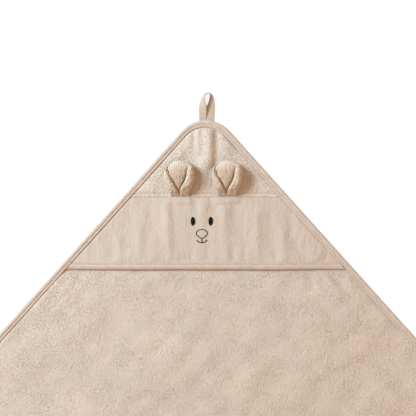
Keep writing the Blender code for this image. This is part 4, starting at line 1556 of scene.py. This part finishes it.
class TOWEL_OT_ears(bpy.types.Operator):
    """The two ears, each a lined lobe whose sides are folded forward"""

    bl_idname = "towel.ears"
    bl_label = "Ears"
    bl_options = {"REGISTER", "UNDO"}

    ROW_STEPS = 8
    FLAT_STEPS = 16
    ROLL_STEPS = 22
    FLAP_STEPS = 10
    # height of the lining's puff above its flat back, by share of the ear's length, in millimetres
    PUFF_SHARES = (0.0, 0.10, 0.22, 0.38, 0.55, 0.72, 0.88, 0.96, 1.0)
    PUFF_HEIGHTS = (0.0, 0.4, 2.6, 4.6, 5.0, 4.4, 3.0, 1.8, 0.0)
    PUFF_LEAN = 0.35  # how much higher the puff stands on its left
    TUCK = 0.03  # how far the lining's puff runs in under the left side, as a share of what shows
    FOOT = 0.0014  # how far above its seam the ear's folded foot starts
    # the shares of the cloth's thickness that are left at its folded edges and at its crown, and the
    # distance and the share of the length over which those round off
    RIM_LEFT = 0.3
    CROWN_LEFT = 0.25
    RIM = 0.0036
    CROWN = 0.12
    # how far the folded edges bend down onto the lining, the roll's radius from which they do so in full,
    # and the turns between which they start to and do so in full
    DROOP = {"left": 0.0030, "right": 0.0018}
    DROOP_ROLL = 0.0030
    DROOP_TURNS = (math.radians(100), math.radians(170))
    # the pile's hills: height, size, how much up the ear counts, own seed; and its unit in clump sizes
    PILE = ((1.0, 1.0, 1.0, 0), (0.8, 3.0, 1.0, 1))
    PILE_SIZE = 0.62
    PILE_HEIGHTS = {"outer": 1.5, "inner": 0.7}
    PILE_STARTS = 0.006
    PILE_EDGE = 4.0  # columns over which it fades at a cloth's sides
    WAY_UP = 0.050  # length of the cloth from its seam to its crown

    def half_section(self, row, cloth, side):
        """Half of an ear's middle line at one height: across, up, angle, share of the way and edge."""
        roll = row[f"roll_{side}"] * MM
        turn = math.radians(row[f"turn_{side}"])
        widest = roll * math.sin(min(turn, math.pi / 2))
        straight = max(0.0, row["half_width"] * MM - cloth - EAR_GAP / 2 - widest)
        flap = row[f"flap_{side}"] * MM
        length = straight + roll * turn + flap
        stretches = (
            np.linspace(0, straight, self.FLAT_STEPS, endpoint=False),
            np.linspace(straight, length - flap, self.ROLL_STEPS, endpoint=False),
            np.linspace(length - flap, length, self.FLAP_STEPS),
        )
        along = np.concatenate(stretches)
        angle = np.clip((along - straight) / roll, 0.0, turn)
        past = np.maximum(0.0, along - straight - roll * turn)
        across = np.minimum(along, straight) + roll * np.sin(angle) + past * np.cos(angle)
        edge = np.clip(1 - (length - along) / self.RIM, 0.0, 1.0)
        droop = self.DROOP[side] * min(1.0, roll / self.DROOP_ROLL) * ease(turn, *self.DROOP_TURNS)
        up = roll * (1 - np.cos(angle)) + past * np.sin(angle) - droop * edge * edge
        return across, up, angle, along / length, edge

    def fullness(self, share, way, edge):
        """How thick the cloth is, as a share of its usual thickness, at shares of its height and width."""
        puff = 1 + EAR_PUFF * ease(share, EAR_PUFF_FROM, EAR_PUFF_FULL)
        crown = math.sqrt(max(0.0, 1 - max(0.0, (share - 1 + self.CROWN) / self.CROWN) ** 2))
        crown = self.CROWN_LEFT + (1 - self.CROWN_LEFT) * crown
        rim = self.RIM_LEFT + (1 - self.RIM_LEFT) * np.sqrt(1 - edge * edge)
        return (puff + (1 - puff) * way * way) * rim * crown

    def dome(self, across, left, right):
        """Share of the lining's puff at places across what shows of it, from its left to its right side."""
        tuck = self.TUCK * (right - left)
        place = np.clip((across - left + tuck) / (right - left + tuck), 0.0, 1.0)
        return np.power(4 * place * (1 - place), 0.5) * (1 + self.PUFF_LEAN * (0.5 - place))

    def layer(self, side, facing):
        """The near and far face of one cloth of an ear; facing is 1 for its front and -1 for its back."""
        centre = EAR_CENTRES[side]
        base_z = float(hood_over(np.array(centre), np.array(EAR_REST_Y))) + EAR_CLEARANCE
        faces = ([], [])
        for row in table(EAR_COLUMNS, through(EAR_ROWS, self.ROW_STEPS)):
            share = row["share"]
            cloth = EAR_CLOTH_AT_SEAM + (EAR_CLOTH - EAR_CLOTH_AT_SEAM) * ease(share, 0.0, EAR_SWELLS)
            y = EAR_BASE_Y + (self.FOOT + (EAR_LENGTH - self.FOOT) * share) * math.cos(EAR_TILT)
            z = base_z + cloth + EAR_GAP / 2 + EAR_LENGTH * share * math.sin(EAR_TILT)
            halves = [self.half_section(row, cloth, half) for half in ("left", "right")]
            left, right = -halves[0][0][-1], halves[1][0][-1]
            raise_by = np.interp(share, self.PUFF_SHARES, self.PUFF_HEIGHTS) * MM * (facing > 0)
            for face, depth in zip(faces, (0.0, 1.0)):
                sides = []
                for (across, up, angle, way, edge), hand in zip(halves, (-1, 1)):
                    thick = depth * cloth * self.fullness(share, way, edge)
                    dome = self.dome(hand * across, left, right) * (angle < math.pi / 2)
                    shift = facing * (EAR_GAP / 2 + thick) + raise_by * dome
                    x = centre + hand * (across - shift * np.sin(angle))
                    sides.append(surface(x, np.full_like(x, y), z + up + shift * np.cos(angle)))
                face.append(np.concatenate((sides[0][:0:-1], sides[1])))
        return [np.array(face) for face in faces]

    def pile(self, face, place, cloth, seed):
        """Relief of the pile on one cloth's shown face, none at its seam and sides."""
        rows, columns = face.shape[:2]
        up = np.linspace(0, self.WAY_UP, rows)[:, None]
        steps = np.linalg.norm(np.diff(face, axis=1, prepend=face[:, :1]), axis=2)
        across = np.cumsum(steps, axis=1)
        relief = hills(across, up, self.PILE, seed, cloth.clump_size * self.PILE_SIZE)
        relief = relief * cloth.pile_relief * self.PILE_HEIGHTS[place] * ease(up, 0.0, self.PILE_STARTS)
        from_side = np.minimum(np.arange(columns), np.arange(columns)[::-1])
        return relief * ease(from_side, 0.0, self.PILE_EDGE)

    def execute(self, context):
        cloth = context.scene.towel_cloth
        colours = context.scene.towel_colours
        colour = colours.ear_terry
        looped = terry_material(
            "ear_terry", colour, cloth.loop_size, depth=0.0016, heading=60, clump_size=0.0024, smoothest=0.9
        )
        # the lining takes the ear's terry colour at its top as painted light
        lining = short_pile_material("ear_lining", colours.ear_lining, grain=1.0, depth=0.0022, top=colour)
        for number, side in enumerate(EAR_CENTRES):
            seed = cloth.seed + 20 + 2 * number
            for facing, place, slot, material in (
                (-1, "outer", "ear_terry", looped),
                (1, "inner", "ear_lining", lining),
            ):
                near, far = self.layer(side, facing)
                relief = self.pile(far, place, cloth, seed)
                if facing > 0:
                    upper, lower = raised(far, relief), near
                else:
                    upper, lower = near, raised(far, -relief)
                piece = shell(f"ear_{side}_{place}_cloth", upper, lower, material)
                fixed(piece, f"ear_{side}_{place}")
        return {"FINISHED"}


class TOWEL_OT_topstitching(bpy.types.Operator):
    """The rows of machine stitching that hold the tapes and the cross seam"""

    bl_idname = "towel.topstitching"
    bl_label = "Topstitching"
    bl_options = {"REGISTER", "UNDO"}

    STEP = 0.002
    OPENING_POINTS = 200
    SEAM_POINTS = 160
    STANDS_OFF = 0.4  # distance of the thread's middle off the cloth, in thread radii

    def across(self, y, inset, count):
        """Places of a straight row across the hood, whose ends lie this far inside the outline."""
        reach = float(half_width(np.array(y), inset))
        x = np.linspace(-reach, reach, count)
        return x, np.full_like(x, y)

    def execute(self, context):
        cloth = context.scene.towel_cloth
        colour = context.scene.towel_colours.sewing_thread
        thread = thread_material("sewing_thread", colour, roughness=0.6, gloss=0.3)
        off = cloth.thread_radius * self.STANDS_OFF

        along = np.arange(0, OUTLINE_LENGTH, self.STEP)
        x, y = bias(*outline(along, np.full_like(along, BINDING_STITCH_INSET)))
        over = surface(x, y, lift(x, y) + binding_room(y) + BINDING_STITCH_DIP + off)
        under = surface(x, y, lift(x, y) + BINDING_STITCH_UNDER - off)

        x, y = self.across(FOLD_Y + HOOD_TAPE_STITCH_UP, HOOD_TRIM, self.OPENING_POINTS)
        opening = surface(x, y, body_over(x, y) + GAP + loft(x, y) + HOOD_TAPE_STITCH_HEIGHT + off)

        x, y = self.across(SEAM_Y + SEAM_STITCH_RISE, BINDING_WIDTH, self.SEAM_POINTS)
        seam = surface(x, y, hood_over(x, y) + off)

        for name, line, closed, slot in (
            ("edge_topstitch", over, True, "binding_tape"),
            ("edge_topstitch_under", under, True, "binding_tape"),
            ("hood_opening_topstitch", opening, False, "binding_tape"),
            ("seam_topstitch", seam, False, "hood_terry"),
        ):
            fixed(topstitched(name, line, closed, cloth, thread))
        return {"FINISHED"}


class TOWEL_OT_embroidered_face(bpy.types.Operator):
    """The embroidered eyes, nose and mouth"""

    bl_idname = "towel.embroidered_face"
    bl_label = "Embroidered face"
    bl_options = {"REGISTER", "UNDO"}

    THREAD = 0.00024
    EYE_ROWS = 34
    EYE_PAD = 0.0007  # how far the eyes' middle stands off the cloth
    EYE_TILT = 0.06  # millimetres by which a stitch rises to its end
    LINE_WIDTH = 0.00130
    LINE_PITCH = 0.00036
    LINE_STEPS = 24
    LINE_SLANT = math.radians(72)
    # half-outline of the nose from the middle of its top to its point, and the mouth, in millimetres
    NOSE = ((0.0, -11.2), (4.0, -11.9), (7.0, -14.4), (7.2, -17.4), (4.6, -20.6), (1.6, -22.8), (0.0, -23.4))
    STEM = ((0.0, -23.4), (0.0, -26.0), (0.2, -28.6))
    SMILE = (
        (-6.8, -25.6),
        (-5.0, -27.6),
        (-2.4, -28.7),
        (0.2, -28.9),
        (2.8, -28.5),
        (5.4, -27.2),
        (7.0, -25.2),
    )

    def eye(self, name, x, material):
        """An oval of stitches from side to side."""
        share = (np.arange(self.EYE_ROWS) + 0.5) / self.EYE_ROWS * 2 - 1
        reach = np.sqrt(1 - share * share)
        x = np.full_like(share, x)
        y = FACE_Y + share * EYE_HALF_HEIGHT * MM
        middles = surface(x, y, hood_over(x, y) + self.EYE_PAD * reach)
        rise = self.EYE_TILT * MM * np.sign(share)
        reaches = surface(reach * EYE_HALF_WIDTH * MM, np.zeros_like(x), rise)
        return satin(name, middles, reaches, self.THREAD, material)

    def line(self, name, outlines, material):
        """Lines of short slanting stitches, each along a smooth curve through its points."""
        middles = []
        reaches = []
        for points in outlines:
            path = through(points, self.LINE_STEPS) * MM
            run = running_length(np.linalg.norm(np.diff(path, axis=0), axis=1))
            spots = np.arange(0, run[-1], self.LINE_PITCH)
            x = np.interp(spots, run, path[:, 0])
            y = np.interp(spots, run, path[:, 1])
            heading = np.arctan2(np.gradient(y), np.gradient(x)) + self.LINE_SLANT
            reaches.append(surface(np.cos(heading), np.sin(heading), np.zeros_like(x)) * self.LINE_WIDTH / 2)
            x = FACE_X + x
            y = FACE_Y + y
            middles.append(surface(x, y, hood_over(x, y) + self.THREAD))
        return satin(name, np.concatenate(middles), np.concatenate(reaches), self.THREAD, material)

    def execute(self, context):
        colour = context.scene.towel_colours.embroidery
        dark = thread_material("embroidery_thread", colour, roughness=0.6, gloss=0.2)
        nose = list(self.NOSE) + [(-x, y) for x, y in reversed(self.NOSE[:-1])]
        fixed(self.eye("eye_left", FACE_X - EYE_SPREAD * MM, dark))
        fixed(self.eye("eye_right", FACE_X + EYE_SPREAD * MM, dark))
        fixed(self.line("nose_outline", [nose], dark))
        fixed(self.line("mouth_line", [self.STEM, self.SMILE], dark))
        return {"FINISHED"}


class TOWEL_OT_stage(bpy.types.Operator):
    """Pale floor, soft light from the left, and a camera straight above the hood"""

    bl_idname = "towel.stage"
    bl_label = "Stage"
    bl_options = {"REGISTER", "UNDO"}

    CAMERA_X = 0.0034
    CAMERA_Y = 0.4165
    KEY_PLACE = (-1.95, 1.30, 1.72)
    AIM = (0.0, 0.40, 0.0)
    FLOOR_HALF = 40.0

    def floor(self, stage):
        """The surface the towel lies on."""
        values = {
            "Base Color": (*stage.floor, 1.0),
            "Roughness": 0.9,
            "Specular IOR Level": 0.1,
            "Emission Color": (1.0, 1.0, 1.0, 1.0),
            "Emission Strength": stage.floor_glow,
        }
        material = plain_material("floor_paper", values)
        half = self.FLOOR_HALF
        corners = [(-half, -half, 0), (half, -half, 0), (half, half, 0), (-half, half, 0)]
        new_piece("floor", corners, [(0, 1, 2, 3)], material)

    def sky(self, stage, scene):
        """The even light from all round."""
        world = bpy.data.worlds.new("studio")
        world.use_nodes = True
        sky = world.node_tree.nodes["Background"]
        sky.inputs["Color"].default_value = (*stage.sky_colour, 1.0)
        sky.inputs["Strength"].default_value = stage.sky_strength
        scene.world = world

    def key(self, stage, scene):
        """The light on the left, turned to the hood."""
        lamp = bpy.data.lights.new("key", "AREA")
        lamp.energy = stage.key_power
        lamp.size = stage.key_size
        lamp.color = stage.key_colour
        key = bpy.data.objects.new("key", lamp)
        key.location = self.KEY_PLACE
        x, y, z = (aim - place for aim, place in zip(self.AIM, self.KEY_PLACE))
        key.rotation_euler = (math.atan2(math.hypot(x, y), -z), 0.0, math.atan2(y, x) - math.pi / 2)
        scene.collection.objects.link(key)

    def camera(self, stage, scene):
        """The camera, which looks straight down."""
        view = bpy.data.cameras.new("camera")
        view.type = "PERSP"
        view.lens = stage.lens
        camera = bpy.data.objects.new("camera", view)
        camera.location = (self.CAMERA_X, self.CAMERA_Y, stage.camera_height)
        scene.collection.objects.link(camera)
        scene.camera = camera

    def execute(self, context):
        scene = context.scene
        stage = scene.towel_stage
        self.floor(stage)
        self.sky(stage, scene)
        self.key(stage, scene)
        self.camera(stage, scene)
        scene.view_settings.view_transform = "Standard"
        return {"FINISHED"}


OPERATORS = (
    TOWEL_OT_stage,
    TOWEL_OT_main_panel,
    TOWEL_OT_hood_panels,
    TOWEL_OT_tapes,
    TOWEL_OT_hanging_loop,
    TOWEL_OT_ears,
    TOWEL_OT_topstitching,
    TOWEL_OT_embroidered_face,
)


class TOWEL_PT_pieces(bpy.types.Panel):
    """The towel's pieces, with the sizes and colours they take"""

    bl_label = "Hooded towel"
    bl_idname = "TOWEL_PT_pieces"
    bl_space_type = "VIEW_3D"
    bl_region_type = "UI"
    bl_category = "Towel"

    def draw(self, context):
        scene = context.scene
        for group in (scene.towel_cloth, scene.towel_colours, scene.towel_stage):
            box = self.layout.box()
            for name in group.__annotations__:
                box.prop(group, name)
        for operator in OPERATORS:
            self.layout.operator(operator.bl_idname)


GROUPS = {"towel_cloth": TowelCloth, "towel_colours": TowelColours, "towel_stage": TowelStage}
CLASSES = (*GROUPS.values(), *OPERATORS, TOWEL_PT_pieces)


def register():
    """Registers the classes, and hangs the groups of properties on the scene."""
    for made in CLASSES:
        bpy.utils.register_class(made)
    for name, group in GROUPS.items():
        setattr(bpy.types.Scene, name, PointerProperty(type=group))


def unregister():
    """Takes away what register() added."""
    for name in GROUPS:
        delattr(bpy.types.Scene, name)
    for made in reversed(CLASSES):
        bpy.utils.unregister_class(made)


def main():
    """Registers the add-on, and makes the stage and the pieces."""
    register()
    for operator in OPERATORS:
        family, name = operator.bl_idname.split(".")
        getattr(getattr(bpy.ops, family), name)()


if __name__ == "__main__":
    main()
